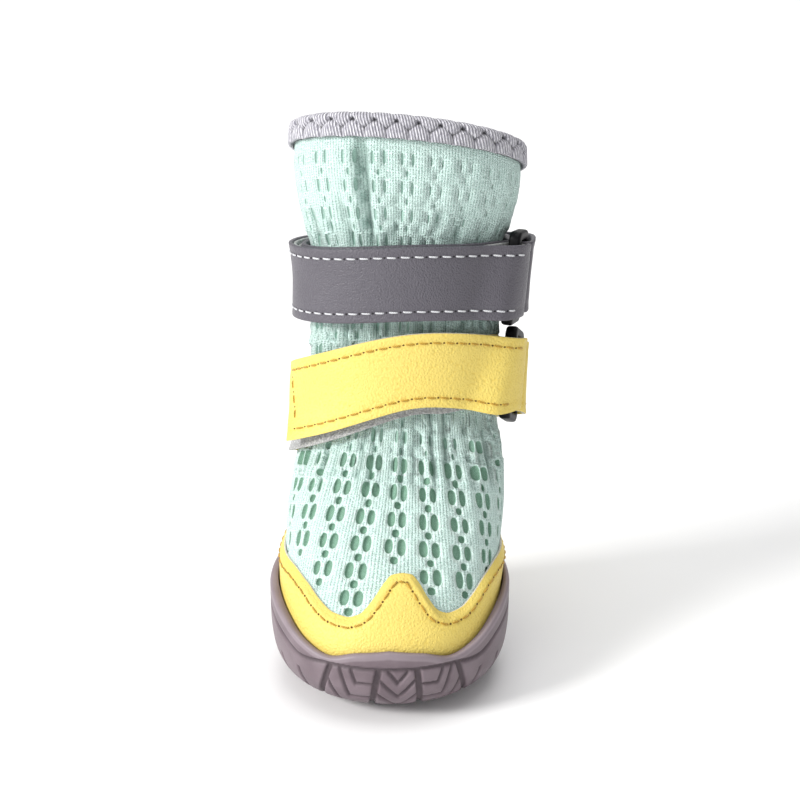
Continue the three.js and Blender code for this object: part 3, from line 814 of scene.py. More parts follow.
COLUMNS = 20  # columns of holes round the leg
ROWS = 21  # rows of holes from the collar to the hem
ROW_PITCH = 5.9
EDGE_ACROSS = (0, 0.25, 0.5, 0.75, 1)
EDGE_DOWN = (0, 0.2, 0.4, 0.6, 0.8, 1)
HOLES = [
    # across, down, half width, half height, as shares of one repeat
    [0.32, 0.34, 0.132, 0.312],
    [0.68, 0.34, 0.132, 0.312],
    [0.5, 0.835, 0.115, 0.155],
]
FILL_POINTS = [  # points between the holes, so that the knit bends evenly
    (0.5, 0.34), (0.5, 0.1), (0.5, 0.56), (0.1, 0.84), (0.9, 0.84), (0.26, 0.84), (0.74, 0.84),
]
HOLE_POINTS = 18
HOLE_POWER = 0.85  # below 1 the holes are squarer than ovals
HOLE_SHIFT = 0.008  # how unevenly the holes are placed and sized, as shares of a repeat and of a hole
HOLE_SWELL = (0.9, 1.08)
CLEAR_OF_STRAP = 2.4  # the openwork runs this far in under a strap
POCKET = [
    # size against the hole's edge, millimetres below the face
    [1.0, 0.12],
    [0.9, 0.34],
    [0.84, 0.78],
]
KNIT_THICKNESS = 0.95
LINING_OFFSETS = (-1.05, -WALL)
GUARD_OVERLAP = 3.0  # the openwork is plain this far below the guard's edge


def guard_edge(angle):
    """Height of the guard's upper edge, whose point stands a little beside the front."""
    turned = angle - math.radians(GUARD_CENTRE) * np.cos(angle / 2) ** 2
    knots, heights = np.array(GUARD_EDGE, float).T
    return follow(knots, heights, from_front(turned))


def cell_border():
    """The points on a repeat's border, the same on every repeat so that neighbours share them."""
    level = [(f, g) for g in (0, 1) for f in EDGE_ACROSS]
    upright = [(f, g) for f in (0, 1) for g in EDGE_DOWN[1:-1]]
    return level + upright


def cell_triangles(points, edges, holes):
    """Triangles that fill a repeat round its holes."""
    result = delaunay_2d_cdt([Vector(p) for p in points], edges, [], 0, 1e-6)
    assert len(result[0]) == len(points)
    kept = []
    for triangle in result[2]:
        x, y = np.mean([points[i] for i in triangle], axis=0)
        reach = [abs((x - h[0]) / h[2]) ** 2.5 + abs((y - h[1]) / h[3]) ** 2.5 for h in holes]
        if min(reach, default=1) > 0.97:
            kept.append(list(triangle))
    return kept


def hole_outline(x, y, half_width, half_height):
    """Points round a hole."""
    around = TURN * np.arange(HOLE_POINTS) / HOLE_POINTS
    rim = np.stack((np.cos(around), np.sin(around)), -1)
    rim = np.sign(rim) * np.abs(rim) ** HOLE_POWER
    return [tuple(p) for p in np.array([x, y]) + rim * [half_width, half_height]]


def open_cell():
    """One repeat of the openwork: points with their depth and hole, and faces with their finish."""
    points = cell_border()
    border = len(points)
    edges, rings = [], []
    for hole in HOLES:
        ring = [len(points) + k for k in range(HOLE_POINTS)]
        points += hole_outline(*hole)
        rings.append(ring)
        edges += list(zip(ring, ring[1:] + ring[:1]))
    points += FILL_POINTS
    faces = [(t, 0) for t in cell_triangles(points, edges, HOLES)]
    depth = [0.0] * len(points)
    owner = [-1] * len(points)
    for index, (ring, (x, y, half_width, half_height)) in enumerate(zip(rings, HOLES)):
        for corner in ring:
            depth[corner], owner[corner] = POCKET[0][1], index
        before = ring
        for step, (size, sunk) in enumerate(POCKET[1:]):
            now = [len(points) + k for k in range(HOLE_POINTS)]
            points += hole_outline(x, y, size * half_width, size * half_height)
            depth += [sunk] * HOLE_POINTS
            owner += [index] * HOLE_POINTS
            sides = zip(before, before[1:] + before[:1], now[1:] + now[:1], now)
            faces += [(list(side), step) for side in sides]
            before = now
        faces.append((before, 1))
    return np.array(points), np.array(depth), np.array(owner), faces, border


def plain_cell():
    """One repeat without holes."""
    points = cell_border() + [(0.25, 0.5), (0.5, 0.5), (0.75, 0.5)]
    triangles = cell_triangles(points, [], [])
    zeros = np.zeros(len(points))
    return np.array(points), zeros, zeros.astype(int) - 1, [(t, 0) for t in triangles], len(cell_border())


def row_place(down, angle):
    """Place on the upper of a row counted from the collar. Rows are evenly spaced down to the guard
    and share out what is left below it."""
    total = read_grid(GRID_RISE, np.ones(np.shape(angle)), angle)
    hidden = place_at_height(guard_edge(angle) - GUARD_OVERLAP, angle, 0.0)
    seen = total - read_grid(GRID_RISE, hidden, angle)
    rows_seen = seen / ROW_PITCH
    below = seen + (down - rows_seen) / (ROWS - rows_seen) * (total - seen)
    run = np.where(down < rows_seen, down * ROW_PITCH, below)
    return place_where(GRID_RISE, total - run, angle), rows_seen


BORDER_STEPS = 20  # a repeat's border points lie on twentieths of it
KEY_ROW = 10000  # more than the twentieths round the leg, so that every border point has its own key
DEEP_FOLD = 0.95  # millimetres; a fold this deep lies in full shade
SHAFT_DEPTH = 0.4  # depth of the holes on the shaft against those over the toes


def hole_sizes(angle, height):
    """Width and height of the holes against full size, and how far they are up the shaft, from 0 to 1.
    They are open over the toes and nearly shut on the shaft, most of all at its right."""
    degrees = np.degrees(angle)
    over_toe = 1 - ease(44, 54, height)
    gathered = ease(40, 58, height) * (1 - ease(60, 64, height))
    left = 1 - ease(-5, 25, degrees)
    shaft = 0.14 + 0.3 * left
    width = over_toe * (1 - 0.25 * gathered) + (1 - over_toe) * shaft
    tall = over_toe + (1 - over_toe) * (0.5 + 0.35 * left)
    side = ease(60, 85, np.abs(degrees))
    return width * (1 - 0.2 * side), tall * (1 - 0.1 * side), 1 - over_toe


def knit_repeats():
    """Column and row of every repeat, whether it is open, and the size of its holes."""
    middle_angle = (np.arange(COLUMNS) - COLUMNS / 2) * TURN / COLUMNS
    column, row = np.meshgrid(np.arange(COLUMNS), np.arange(ROWS), indexing="ij")
    column, row = column.ravel(), row.ravel()
    angle = middle_angle[column]
    place, rows_seen = row_place(row + 0.5, angle)
    height = last_point(place, angle)[..., 2]
    is_open = (row + 1.1 < rows_seen) & (row > 0)
    for strap in STRAPS.values():
        is_open &= np.abs(height - strap_height(strap, angle)) > STRAP_WIDTH / 2 - CLEAR_OF_STRAP
    return column, row, is_open, hole_sizes(angle, height)


def knit_shape():
    """The knit's outer face with its holes, and its inner face."""
    shape = Shape()
    rng = np.random.default_rng(7)
    column, row, is_open, (wide, tall, on_shaft) = knit_repeats()
    values = {"f": [], "g": [], "depth": [], "shaft": [], "border": []}
    blocks = []
    for cell, chosen in ((open_cell(), is_open), (plain_cell(), ~is_open)):
        points, depth, hole, faces, border = cell
        who = np.flatnonzero(chosen)
        f = np.repeat(points[None, :, 0], len(who), 0)
        g = np.repeat(points[None, :, 1], len(who), 0)
        for index, (x, y, _, _) in enumerate(HOLES):
            mine = hole == index
            shift = rng.normal(0, HOLE_SHIFT, (2, len(who), 1))
            swell = rng.uniform(*HOLE_SWELL, (2, len(who), 1))
            f[:, mine] = x + (f[:, mine] - x) * wide[who, None] * swell[0] + shift[0]
            g[:, mine] = y + (g[:, mine] - y) * tall[who, None] * swell[1] + shift[1]
        blocks.append((np.arange(f.size).reshape(f.shape), faces))
        values["f"].append(f + column[who, None])
        values["g"].append(g + row[who, None])
        values["depth"].append(depth[None] * (1 - (1 - SHAFT_DEPTH) * on_shaft[who, None]))
        values["shaft"].append(np.repeat(on_shaft[who, None], len(points), 1))
        values["border"].append(np.repeat((np.arange(len(points)) < border)[None], len(who), 0))
    f, g, depth, shaft, border = (np.concatenate([a.ravel() for a in some]) for some in values.values())

    # Points on the repeats' borders are shared, so the knit is one closed skin.
    around = np.round((f % COLUMNS) * BORDER_STEPS).astype(int) % (COLUMNS * BORDER_STEPS)
    keys = around + np.round(g * BORDER_STEPS).astype(int) * KEY_ROW
    keys = np.where(border, keys, -1 - np.arange(len(f)))
    unique, first, index = np.unique(keys, return_index=True, return_inverse=True)
    angle = (f[first] - 0.5 - COLUMNS / 2) * TURN / COLUMNS
    place, _ = row_place(g[first], angle)
    creased = crease(place, angle)
    # fold is how much painted shade the knit gets in its creases
    fold = np.clip(-creased / DEEP_FOLD, 0, 1)
    corners = upper_point(place, angle, creased - depth[first])
    shape.add(corners, np.zeros((0, 3), int), np.zeros((0, 3, 2)))
    base = 0
    for numbers, faces in blocks:
        for size in sorted({len(face) for face, _ in faces}):
            some = [(face, finish) for face, finish in faces if len(face) == size]
            finish = np.tile([finish for _, finish in some], len(numbers))
            raw = numbers[:, np.array([face for face, _ in some])].reshape(-1, size) + base
            second = np.where(finish[:, None] == 1, shaft[raw], fold[index[raw]])
            relief = np.stack((depth[raw], second), -1)
            shape.join(index[raw], np.stack((f[raw], g[raw]), -1), relief, finish)
        base += numbers.size
    add_knit_inside(shape, dict(zip(unique, range(len(unique)))))
    return shape


def add_knit_inside(shape, known):
    """The knit's inner face, joined to the outer one along the collar and the hem."""
    steps = len(EDGE_ACROSS) - 1
    count = COLUMNS * steps
    angles = (np.arange(count) / steps - 0.5 - COLUMNS / 2) * TURN / COLUMNS
    rows = np.arange(ROWS + 1)
    place, _ = row_place(np.repeat(rows[:, None], count, 1).astype(float), angles[None])
    inner = upper_point(place, angles[None], crease(place, angles[None]) - KNIT_THICKNESS)
    pattern = pattern_of(np.arange(count + 1) / steps, rows)
    first = shape.count
    add_skin(shape, inner, pattern, finish=1)
    k = np.arange(count)
    n = (k + 1) % count
    for row in (0, ROWS):
        outer = np.array([known[BORDER_STEPS // steps * i + row * BORDER_STEPS * KEY_ROW] for i in k])
        near = first + row * count + k
        faces = np.stack((outer[k], outer[n], near[n], near[k]), -1)
        at = np.stack((pattern[row, k], pattern[row, k + 1], pattern[row, k + 1], pattern[row, k]), 1)
        shape.join(faces, at)


def lining_shape():
    """The padding with its smooth jersey: a closed skin, its inner face less creased than the outer."""
    shape = Shape()
    columns, rows = 240, 120
    angles = full_turn(columns)
    places = np.linspace(0.0, 1, rows)
    out, back = LINING_OFFSETS
    levels = [(place, 1, out) for place in places[::4]] + [(place, 0.8, back) for place in places[::-1]]
    face = []
    for place, share, offset in levels:
        creased = crease(np.full(columns, place), angles)
        face.append(upper_point(place, angles, share * creased + offset))
    run = np.linspace(0, len(face) / 4, len(face) + 1)
    pattern = pattern_of(np.linspace(0, COLUMNS, columns + 1), run)
    add_skin(shape, np.array(face), pattern, close_rows=True)
    return shape


piece("upper_knit", knit_shape(), ["knit", "backing"], "knit", "upper")
piece("upper_lining", lining_shape(), ["lining"], "lining", sharp=40)

# ---- Insole ----


def insole_shape():
    """Pressed felt, a little dished, with a soft rounded edge."""
    shape = Shape()
    columns = 160
    bottom = SOLE_FLOOR + GAP
    outline = upper_at_height(np.full(columns, bottom), full_turn(columns), -WALL - 2 * GAP)
    edge = [  # height above the bottom, how far the edge is drawn in
        (0.0, 0.5), (0.25, 0.12), (0.5, 0.0), (1.6, 0.0), (2.0, 0.12), (2.25, 0.4),
        (INSOLE_THICKNESS, 1.0),
    ]
    levels = [(1 - inset / 22, bottom + rise) for rise, inset in edge]
    top = bottom + INSOLE_THICKNESS
    levels += [(share, top - 0.35 * (1 - share**2)) for share in np.linspace(0.93, 0.02, 24)]
    rings = []
    for share, height in levels:
        ring = outline * share
        ring[:, 2] = height
        rings.append(ring)
    add_skin(shape, np.array(rings), pattern_of(np.arange(columns + 1), np.arange(len(rings))), caps=True)
    return shape


piece("insole", insole_shape(), ["felt"], "insole_felt", "insole", sharp=60)

# ---- Collar binding ----

PUFFS = 28  # puffs of the braid round the collar
SEAM_DROP = 2.0  # the zigzag seam's mean distance below the top of the binding
SEAM_SWING = 0.75
PIT_DEPTH = 1.1
CROWN = 0.9  # how far the fold of the binding rounds over the rim
FACE_RELIEF = 0.62  # share of the braid's relief that shows on the outside
BACK_RELIEF = 0.3  # and on the inside


def braid(turns, down):
    """Relief of the braid: how far the yarn stands up, in millimetres, and its painted shade where it is
    sunk, from 0 to 1. turns counts puffs round the collar, down is millimetres from the top edge."""
    share = turns % 1
    swing = np.abs(share * 2 - 1)  # the zigzag is highest in the middle of a share
    seam = SEAM_DROP + SEAM_SWING * (swing * 2 - 1)
    groove = np.exp(-(((down - seam) / 0.4) ** 2))
    upper_share = (turns + 0.5 - 0.12 * (down - SEAM_DROP)) % 1
    upper = 1 - np.abs(upper_share * 2 - 1) ** 4
    lower = 1 - np.abs(share * 2 - 1) ** 3
    on_top = 1 - ease(-0.15, 0.15, down - seam)
    puff = upper * on_top + lower * (1 - on_top)
    pit = np.exp(-(((share - 0.5) / 0.11) ** 2 + ((down - SEAM_DROP + SEAM_SWING) / 0.5) ** 2))
    # painted shade: this value only darkens the colour, in the seam's groove, the pits and between the
    # puffs
    sunk = np.clip(np.maximum(groove * 0.5, pit), 0, 1)
    return 0.9 * puff - 0.6 * groove - PIT_DEPTH * pit, np.clip(sunk + 0.5 * (1 - puff) ** 1.5, 0, 1)


def binding_shape():
    """A knitted band folded over the rim of the collar, braided on both faces."""
    shape = Shape()
    near = BINDING["clearance"]
    tall = BINDING["height"]
    columns = 560
    turns = np.linspace(0, PUFFS, columns, endpoint=False)
    up, _, normal, _ = last_frame(np.ones(columns), full_turn(columns))
    rim = last_point(np.ones(columns), full_turn(columns))
    reach = near + BINDING["thickness"] + WALL / 2

    # Up the outside, over the rim and down the inside: outwards, upwards, drop below the rim, face.
    steps = [(1, 0, -down, 1) for down in np.linspace(tall, 0.4, 17)]
    steps += [(math.cos(a), math.sin(a), 0, 0) for a in np.radians(np.linspace(0, 180, 17))]
    steps += [(-1, 0, -down, -1) for down in np.linspace(0.4, tall, 15)]
    rows, reliefs = [], []
    for cosine, sine, drop, face in steps:
        from_top = (1 - sine) * CROWN if face == 0 else CROWN - drop
        out, sunk = braid(turns, np.full(columns, from_top))
        amount = FACE_RELIEF if face >= 0 else BACK_RELIEF
        scallop = 0.35 * np.abs(np.sin(math.pi * turns)) if face else 0
        lower = drop + scallop * (-drop / tall) ** 3 if face else 0
        offset = -WALL / 2 + (reach - 0.25) * cosine + out * amount * (cosine if face == 0 else face)
        rise = CROWN * sine + 0.25 * out * sine + lower
        rows.append(rim + normal * offset[:, None] + up * np.broadcast_to(rise, (columns,))[:, None])
        reliefs.append(sunk)
    low = 0.1 - tall
    back = [(-WALL - near, low), (-WALL - near, -0.2), (near, near), (near, -0.2), (near, low)]
    for offset, rise in back:
        rows.append(rim + normal * offset + up * rise)
        # painted shade: the rows tucked under the binding are fully dark
        reliefs.append(np.ones(columns))
    points = np.array(rows)
    depth = np.stack((np.array(reliefs + [reliefs[0]]), np.zeros((len(rows) + 1, columns))), -1)
    length = np.append(0, np.cumsum(np.linalg.norm(np.diff(points, axis=0), axis=-1).mean(1)))
    pattern = pattern_of(np.linspace(0, 5 * PUFFS, columns + 1), np.append(length, length[-1] + 1))
    add_skin(shape, points, pattern, wrapped(depth), close_rows=True)
    return shape


piece("collar_binding", binding_shape(), ["melange"], "binding_knit", "collar_binding")

# ---- Stitches ----

STITCH = {"pitch": 2.8, "length": 2.15, "width": 0.4, "lift": 0.17, "slant": 0.07, "rings": 9, "sides": 8}
NEEDLE_HOLE = 0.24  # radius of the hole between two stitches


def read_line(line, run, at):
    """Points at given distances along a line whose own points lie at the distances of run."""
    return np.stack([np.interp(at, run, line[:, k]) for k in range(3)], -1)


def add_stitches(shape, line, normals):
    """A row of stitches along a line that lies on the leather."""
    run = run_along(line)
    count = max(int(run[-1] // STITCH["pitch"]), 1)
    outs = unit(read_line(normals, run, (np.arange(count) + 0.5) * run[-1] / count))
    t = np.linspace(-1, 1, STITCH["rings"])
    sag = STITCH["lift"] * (1 - 1.9 * t**4)
    slant = STITCH["slant"] * t * STITCH["length"] / 2
    slim = np.sqrt(np.clip(1 - np.abs(t) ** 5, 0.02, 1)) * STITCH["width"] / 2
    turn = np.linspace(0, TURN, STITCH["sides"], endpoint=False)
    cosine, sine = np.cos(turn)[None, :, None], 0.85 * np.sin(turn)[None, :, None]
    for index, out in enumerate(outs):
        at = (index + 0.5) * run[-1] / count + t * STITCH["length"] / 2
        core = read_line(line, run, at)
        along = unit(np.gradient(core, axis=0))
        beside = unit(np.cross(along, out))
        core = core + out * sag[:, None] + beside * slant[:, None]
        over = np.cross(beside, along)
        ring = cosine * beside[:, None] + sine * over[:, None]
        pattern = pattern_of(np.linspace(0, 1, STITCH["sides"] + 1), at)[..., ::-1]
        add_skin(shape, core[:, None] + ring * slim[:, None, None], pattern, caps=True)
        add_needle_hole(shape, read_line(line, run, (index + 1) * run[-1] / count), out, along[-1])


def add_needle_hole(shape, centre, out, along):
    """The dark hole in the leather where the needle went through: a flat bead sunk in it."""
    beside = np.cross(along, out)
    turn = np.linspace(0, TURN, 10, endpoint=False)
    rings = []
    for tilt in np.radians([-80, -30, 25, 80]):
        flat = np.cos(turn)[:, None] * along * 1.15 + np.sin(turn)[:, None] * beside
        bead = NEEDLE_HOLE * (math.cos(tilt) * flat + 0.2 * math.sin(tilt) * out)
        rings.append(centre + bead + 0.05 * out)
    pattern = pattern_of(np.arange(11) * 0.1, np.arange(4) * 0.1)
    add_skin(shape, np.array(rings), pattern, finish=1, caps=True)


def thread_piece(name, rows, finish):
    """All the stitches of some seams, with their needle holes."""
    shape = Shape()
    for line, normals in rows:
        add_stitches(shape, line, normals)
    piece(name, shape, [finish, f"{finish} hole"], f"{finish}_thread")


def stitch_marks(distance, along, pitch):
    """How deep the leather is pulled in beside a row of stitches, from 0 to 1."""
    phase = np.abs((along / pitch) % 1 - 0.5) * 2
    return np.exp(-((distance / 0.55) ** 2)) * (0.45 + 0.55 * phase**4)


# ---- Leather guard ----

GUARD_STITCH_INSET = 2.2
GUARD_OUTSIDE = GUARD_INSIDE + LEATHER
GUARD_SKIVE = 1.8  # the leather is pared thin over this distance from its upper edge


def guard_line(angle, inset, offset):
    """Points on the guard at a distance below its upper edge, with the normals there."""
    angle = np.asarray(angle, float)
    edge_place = place_at_height(guard_edge(angle), angle, offset)
    edge = upper_point(edge_place, angle, offset)
    up, around, normal, pace = last_frame(edge_place, angle)
    inward = unit(np.cross(unit(np.gradient(edge, axis=0)), normal))
    inward = inward * np.sign(-(inward * up).sum(-1, keepdims=True))
    climb = last_point(np.minimum(edge_place + STEP, 1), angle) - last_point(edge_place, angle)
    rise = np.linalg.norm(climb, axis=-1) / STEP
    turned = angle + inset * (inward * around).sum(-1) / pace
    place = edge_place + inset * (inward * up).sum(-1) / rise
    return upper_point(place, turned, np.full(turned.shape, offset)), last_frame(place, turned)[2]


def guard_shape():
    """Leather with a raw upper edge: up its face, over the edge and down its back."""
    shape = Shape()
    columns = 420
    angles = full_turn(columns)
    low = place_at_height(np.full(columns, float(GUARD_BOTTOM)), angles, GUARD_OUTSIDE)
    high = place_at_height(guard_edge(angles), angles, GUARD_OUTSIDE)
    seam, _ = guard_line(HALF_DEGREES, GUARD_STITCH_INSET, GUARD_OUTSIDE)
    run = run_along(seam)
    pitch = run[-1] / int(run[-1] // STITCH["pitch"])
    rows, reliefs, finishes = [], [], []
    for share in np.concatenate((np.linspace(0, 0.5, 8)[:-1], np.linspace(0.5, 0.985, 26))):
        place = low + (high - low) * share
        points = upper_point(place, angles, np.full(columns, GUARD_OUTSIDE))
        away = np.linalg.norm(points[:, None] - seam[None], axis=-1)
        mark = stitch_marks(away.min(1), run[away.argmin(1)], pitch)
        pared = ease(GUARD_SKIVE, 0, guard_edge(angles) - points[:, 2])
        drawn = (LEATHER * 0.55 + GUARD_INSIDE * 0.75) * pared
        bulge = 0.12 * np.sin(math.pi * ease(0.45, 1, share)) - 0.22 * mark - drawn
        rows.append(upper_point(place, angles, GUARD_OUTSIDE + bulge))
        reliefs.append(np.stack((mark, np.full(columns, share)), -1))
        finishes.append(0)
    edge = [(1.003, 0.48, 1), (1.006, 0.3, 1), (1.005, 0.08, 1), (0.97, 0.05, 1)]
    back = [(share, GUARD_INSIDE, 0) for share in np.linspace(0.8, 0, 8)]
    for share, offset, finish in edge + back:
        rows.append(upper_point(low + (high - low) * share, angles, np.full(columns, offset)))
        reliefs.append(np.zeros((columns, 2)))
        finishes.append(finish)
    relief = np.array(reliefs + [reliefs[0]])
    pattern = pattern_of(np.linspace(0, 160, columns + 1), np.arange(len(rows) + 1))
    finish = np.repeat(np.array(finishes)[:, None], columns, 1)
    add_skin(shape, np.array(rows), pattern, wrapped(relief), finish, close_rows=True)
    return shape


piece("guard_leather", guard_shape(), ["yellow", "raw"], "yellow_leather", "guard", sharp=50)
guard_seam = guard_line(HALF_DEGREES, GUARD_STITCH_INSET, GUARD_OUTSIDE - 0.08)
thread_piece("guard_stitches", [guard_seam], "ochre")

# ---- Sole ----

# The toe's tread, as lines of [distance round from the front, height].
MIDDLE_CHANNELS = [[[-2.0, 13.2], [-4.6, -0.6]], [[5.7, 13.2], [7.2, -0.6]]]
OUTER_CHANNELS = [[[-12.6, 12.4], [-16.6, 2.4]], [[14.8, 12.6], [18.4, 2.6]]]
TOE_GROOVES = [
    [[-0.7, 13.4], [1.8, 9.8], [4.4, 13.4]],  # chevrons in the middle
    [[-2.8, 11.4], [1.8, 6.0], [6.2, 11.4]],
    [[-3.4, 7.6], [1.8, 2.0], [6.6, 7.6]],
    [[-4.2, 3.8], [1.8, -1.8], [7.0, 3.8]],
    [[-8.0, 13.0], [-6.9, 9.4], [-2.6, 9.4]],  # nested corners on the left
    [[-10.4, 13.0], [-8.6, 5.6], [-3.2, 5.6]],
    [[-13.4, 9.8], [-10.6, 2.0], [-4.0, 2.0]],
    [[11.4, 13.0], [10.3, 9.2], [6.2, 9.2]],  # and on the right
    [[13.4, 13.0], [11.6, 5.4], [6.6, 5.4]],
    [[15.8, 9.6], [13.4, 1.9], [7.0, 1.9]],
]
SHALLOW = 0.8  # depth of the grooves against the channels
TOE_CUTS = [  # lines, width, depth
    (MIDDLE_CHANNELS, 1.2, 1),
    (OUTER_CHANNELS, 1.1, 1),
    (TOE_GROOVES, 0.55, SHALLOW),
]
SIDE_GROOVE = {"drop": 3.8, "width": 0.7}
SIDE_BARS = {"pitch": 7.4, "width": 0.7, "lean": 0.35, "foot": 9.5}
GROOVE_DEPTH = 0.65
BAND_FOOT = 13.0  # height at which the smooth band ends at the front


def sole_point(height, angle, inset=0.0):
    """Point on the outside of the sole, moved in by inset."""
    heights, *columns = np.array(SOLE_ROWS, float).T
    front_y, back_y, half_width, squareness = (follow(heights, column, height) for column in columns)
    radius = oval_radius(angle, (back_y - front_y) / 2 - inset, half_width - inset, squareness)
    x = radius * np.sin(angle) * paw_plan(angle)
    y = (back_y + front_y) / 2 - radius * np.cos(angle)
    return np.stack(np.broadcast_arrays(x, y, height), -1)


def sole_rim(angle):
    """Height of the sole's rim."""
    knots, heights = np.array(SOLE_RIM, float).T
    return follow(knots, heights, from_front(angle))


def line_distance(x, y, line):
    """Distance from each point to a bent line."""
    best = np.full(np.shape(x), 1e9)
    for (ax, ay), (bx, by) in zip(line[:-1], line[1:]):
        dx, dy = bx - ax, by - ay
        t = np.clip(((x - ax) * dx + (y - ay) * dy) / (dx * dx + dy * dy), 0, 1)
        best = np.minimum(best, np.hypot(x - ax - t * dx, y - ay - t * dy))
    return best


def groove(distance, width, edge=0.28):
    """1 in the groove, 0 beside it, with sides that lean."""
    return 1 - ease(width / 2 - edge / 2, width / 2 + edge, distance)


def side_tread(distance, height, rim):
    """Depth of the tread on the sole's wall from 0 to 1, at a distance round it from the front."""
    depth = np.zeros(distance.shape)
    below_band = 1 - ease(BAND_FOOT - 0.2, BAND_FOOT + 0.1, height)
    for lines, width, share in TOE_CUTS:
        for line in lines:
            cut = groove(line_distance(distance, height, line), width)
            depth = np.maximum(depth, share * cut * below_band)
    band = BAND_FOOT + (rim - SIDE_GROOVE["drop"] - BAND_FOOT) * ease(13, 26, np.abs(distance))
    depth = np.maximum(depth, SHALLOW * groove(np.abs(height - band), SIDE_GROOVE["width"]))
    bar = np.abs(distance) - SIDE_BARS["lean"] * height
    away = np.abs((bar / SIDE_BARS["pitch"]) % 1 - 0.5) * SIDE_BARS["pitch"]
    beside = ease(18, 20, np.abs(distance))
    beside = beside * (1 - ease(SIDE_BARS["foot"] - 0.8, SIDE_BARS["foot"], height))
    return np.maximum(depth, groove(away, SIDE_BARS["width"]) * beside)


def floor_tread(x, y):
    """Depth of the chevron channels under the sole from 0 to 1, with a fine cut between each two."""
    run = y - TREAD["slope"] * np.abs(x - TREAD["centre_x"])
    leaning = math.hypot(1, TREAD["slope"])
    nearest = (run / TREAD["pitch"] - 0.5 * (TREAD["rows"] % 2 == 0)) % 1
    away = np.minimum(nearest, 1 - nearest) * TREAD["pitch"] / leaning
    inside = np.abs(run) < TREAD["pitch"] * TREAD["rows"] / 2
    wide = groove(away, TREAD["width"], 0.4) * inside
    middle = (run / TREAD["pitch"] + 0.5 * (TREAD["rows"] % 2)) % 1
    fine = groove(np.abs(middle - 0.5) * TREAD["pitch"] / leaning, 0.45, 0.25) * 0.35
    fine = fine * ease(4.5, 5.5, np.abs(x - TREAD["centre_x"]) + np.abs(y) * 0.4)
    return np.maximum(wide, fine)


def sole_wall(angles, rim):
    """The sole's outside from the floor to its rim, with the tread cut in, and the tread's depth."""
    heights = np.linspace(0, 1, 90)[:, None] ** 1.3 * (rim - RIM["height"])[None]
    run = run_along(sole_point(heights, angles[None]))
    shares = np.linspace(0, 1, 62)
    levels = [np.interp(shares * r[-1], r, h) for r, h in zip(run.T, heights.T)]
    levels = np.stack(levels, -1)
    wall = sole_point(levels, angles[None])
    degrees = np.linspace(-180, 180, 1441)
    around = run_along(sole_point(8.5, np.radians(degrees)))
    signed = (np.degrees(angles) + 180) % 360 - 180
    distance = np.interp(signed, degrees, around - around[len(degrees) // 2])
    depth = side_tread(np.broadcast_to(distance, levels.shape), levels, rim[None])
    under = floor_tread(wall[..., 0], wall[..., 1]) * (1 - ease(LUG_DEPTH - 0.1, LUG_DEPTH + 0.2, levels))
    along = np.roll(wall, -1, 1) - np.roll(wall, 1, 1)
    out = unit(np.cross(along, np.gradient(wall, axis=0)))
    wall = wall - out * (GROOVE_DEPTH * depth)[..., None]
    wall[..., 2] = np.maximum(wall[..., 2], LUG_DEPTH * under)
    return wall, np.maximum(depth, under)


def sole_shape():
    """The moulded cup: its bottom from the middle out, its wall, its rim and its inside."""
    shape = Shape()
    toe, rest = np.linspace(-62, 62, 330), np.linspace(62, 298, 280)[1:-1]
    angles = np.radians(np.concatenate((toe, rest)))
    count = len(angles)
    rim = sole_rim(angles)
    wall, wall_depth = sole_wall(angles, rim)
    base = sole_point(0.0, angles)
    bottom, bottom_depth = [], []
    for share in (1 - np.linspace(0, 1, 58)[1:] ** 0.9 * 0.985)[::-1]:
        ring = base * share
        bottom_depth.append(floor_tread(ring[:, 0], ring[:, 1]))
        ring[:, 2] = LUG_DEPTH * bottom_depth[-1]
        bottom.append(ring)
    turned = sole_point(rim - 0.28, angles, 0.1), sole_point(rim, angles, RIM["inset"])
    rim_inside = GUARD_OUTSIDE + 1.5 * GAP
    foot = GUARD_BOTTOM - GAP
    inner = [
        upper_at_height(foot + (rim - RIM["dip"] - foot) * share, angles, rim_inside)
        for share in (1, 0.97, 0.8, 0.6, 0.4, 0.2, 0)
    ]
    ledge = upper_at_height(np.full(count, SOLE_FLOOR + GAP), angles, GAP)
    ledge[:, 2] = SOLE_FLOOR
    floor = [ledge * share + np.array([0, 0, SOLE_FLOOR * (1 - share)]) for share in (1, 0.5, 0.02)]
    rows = [*bottom, *wall, *turned, *inner, *floor]
    relief = np.zeros((len(rows), count, 2))
    first, last = len(bottom), len(bottom) + len(wall)
    relief[:first, :, 0] = bottom_depth
    relief[first:last, :, 0] = wall_depth
    relief[last - 2 : last + 2, :, 1] = 0.8
    pattern = pattern_of(np.linspace(0, 170, count + 1), np.arange(len(rows)) * 0.4)
    add_skin(shape, np.array(rows), pattern, wrapped(relief), caps=True)
    return shape


piece("sole", sole_shape(), ["rubber"], "rubber_sole", "sole", sharp=70)

# ---- Straps, tabs and rings ----


def strap_point(strap, angle, across, offset):
    """Point on a strap: across is millimetres up from its middle line."""
    angle, across, offset = np.broadcast_arrays(angle, across, offset)
    middle = place_at_height(strap_height(strap, angle), angle, 0.0)
    pace = last_frame(middle, angle)[3]
    climb = (strap_height(strap, angle + STEP) - strap_height(strap, angle - STEP)) / (2 * STEP)
    slope = np.arctan2(climb, pace)
    turned = angle - across * np.sin(slope) / pace
    return upper_at_height(strap_height(strap, angle) + across * np.cos(slope), turned, offset)


def ring_frame(strap):
    """Origin on the upper's face, then unit vectors along the strap, across it and outwards."""
    angle, reach = math.radians(RING["angle"]), STRAP_WIDTH / 2
    up = unit(strap_point(strap, angle, reach, 0.0) - strap_point(strap, angle, -reach, 0.0))
    along = unit(strap_point(strap, angle + 0.2, 0, 0.0) - strap_point(strap, angle - 0.2, 0, 0.0))
    normal = unit(np.cross(along, up))
    return strap_point(strap, angle, 0, 0.0), along, np.cross(normal, along), normal


def stations(start, end):
    """Angles from start to end, about two degrees apart."""
    return np.linspace(start, end, max(2, int(abs(math.degrees(end - start)) / 2.0)))


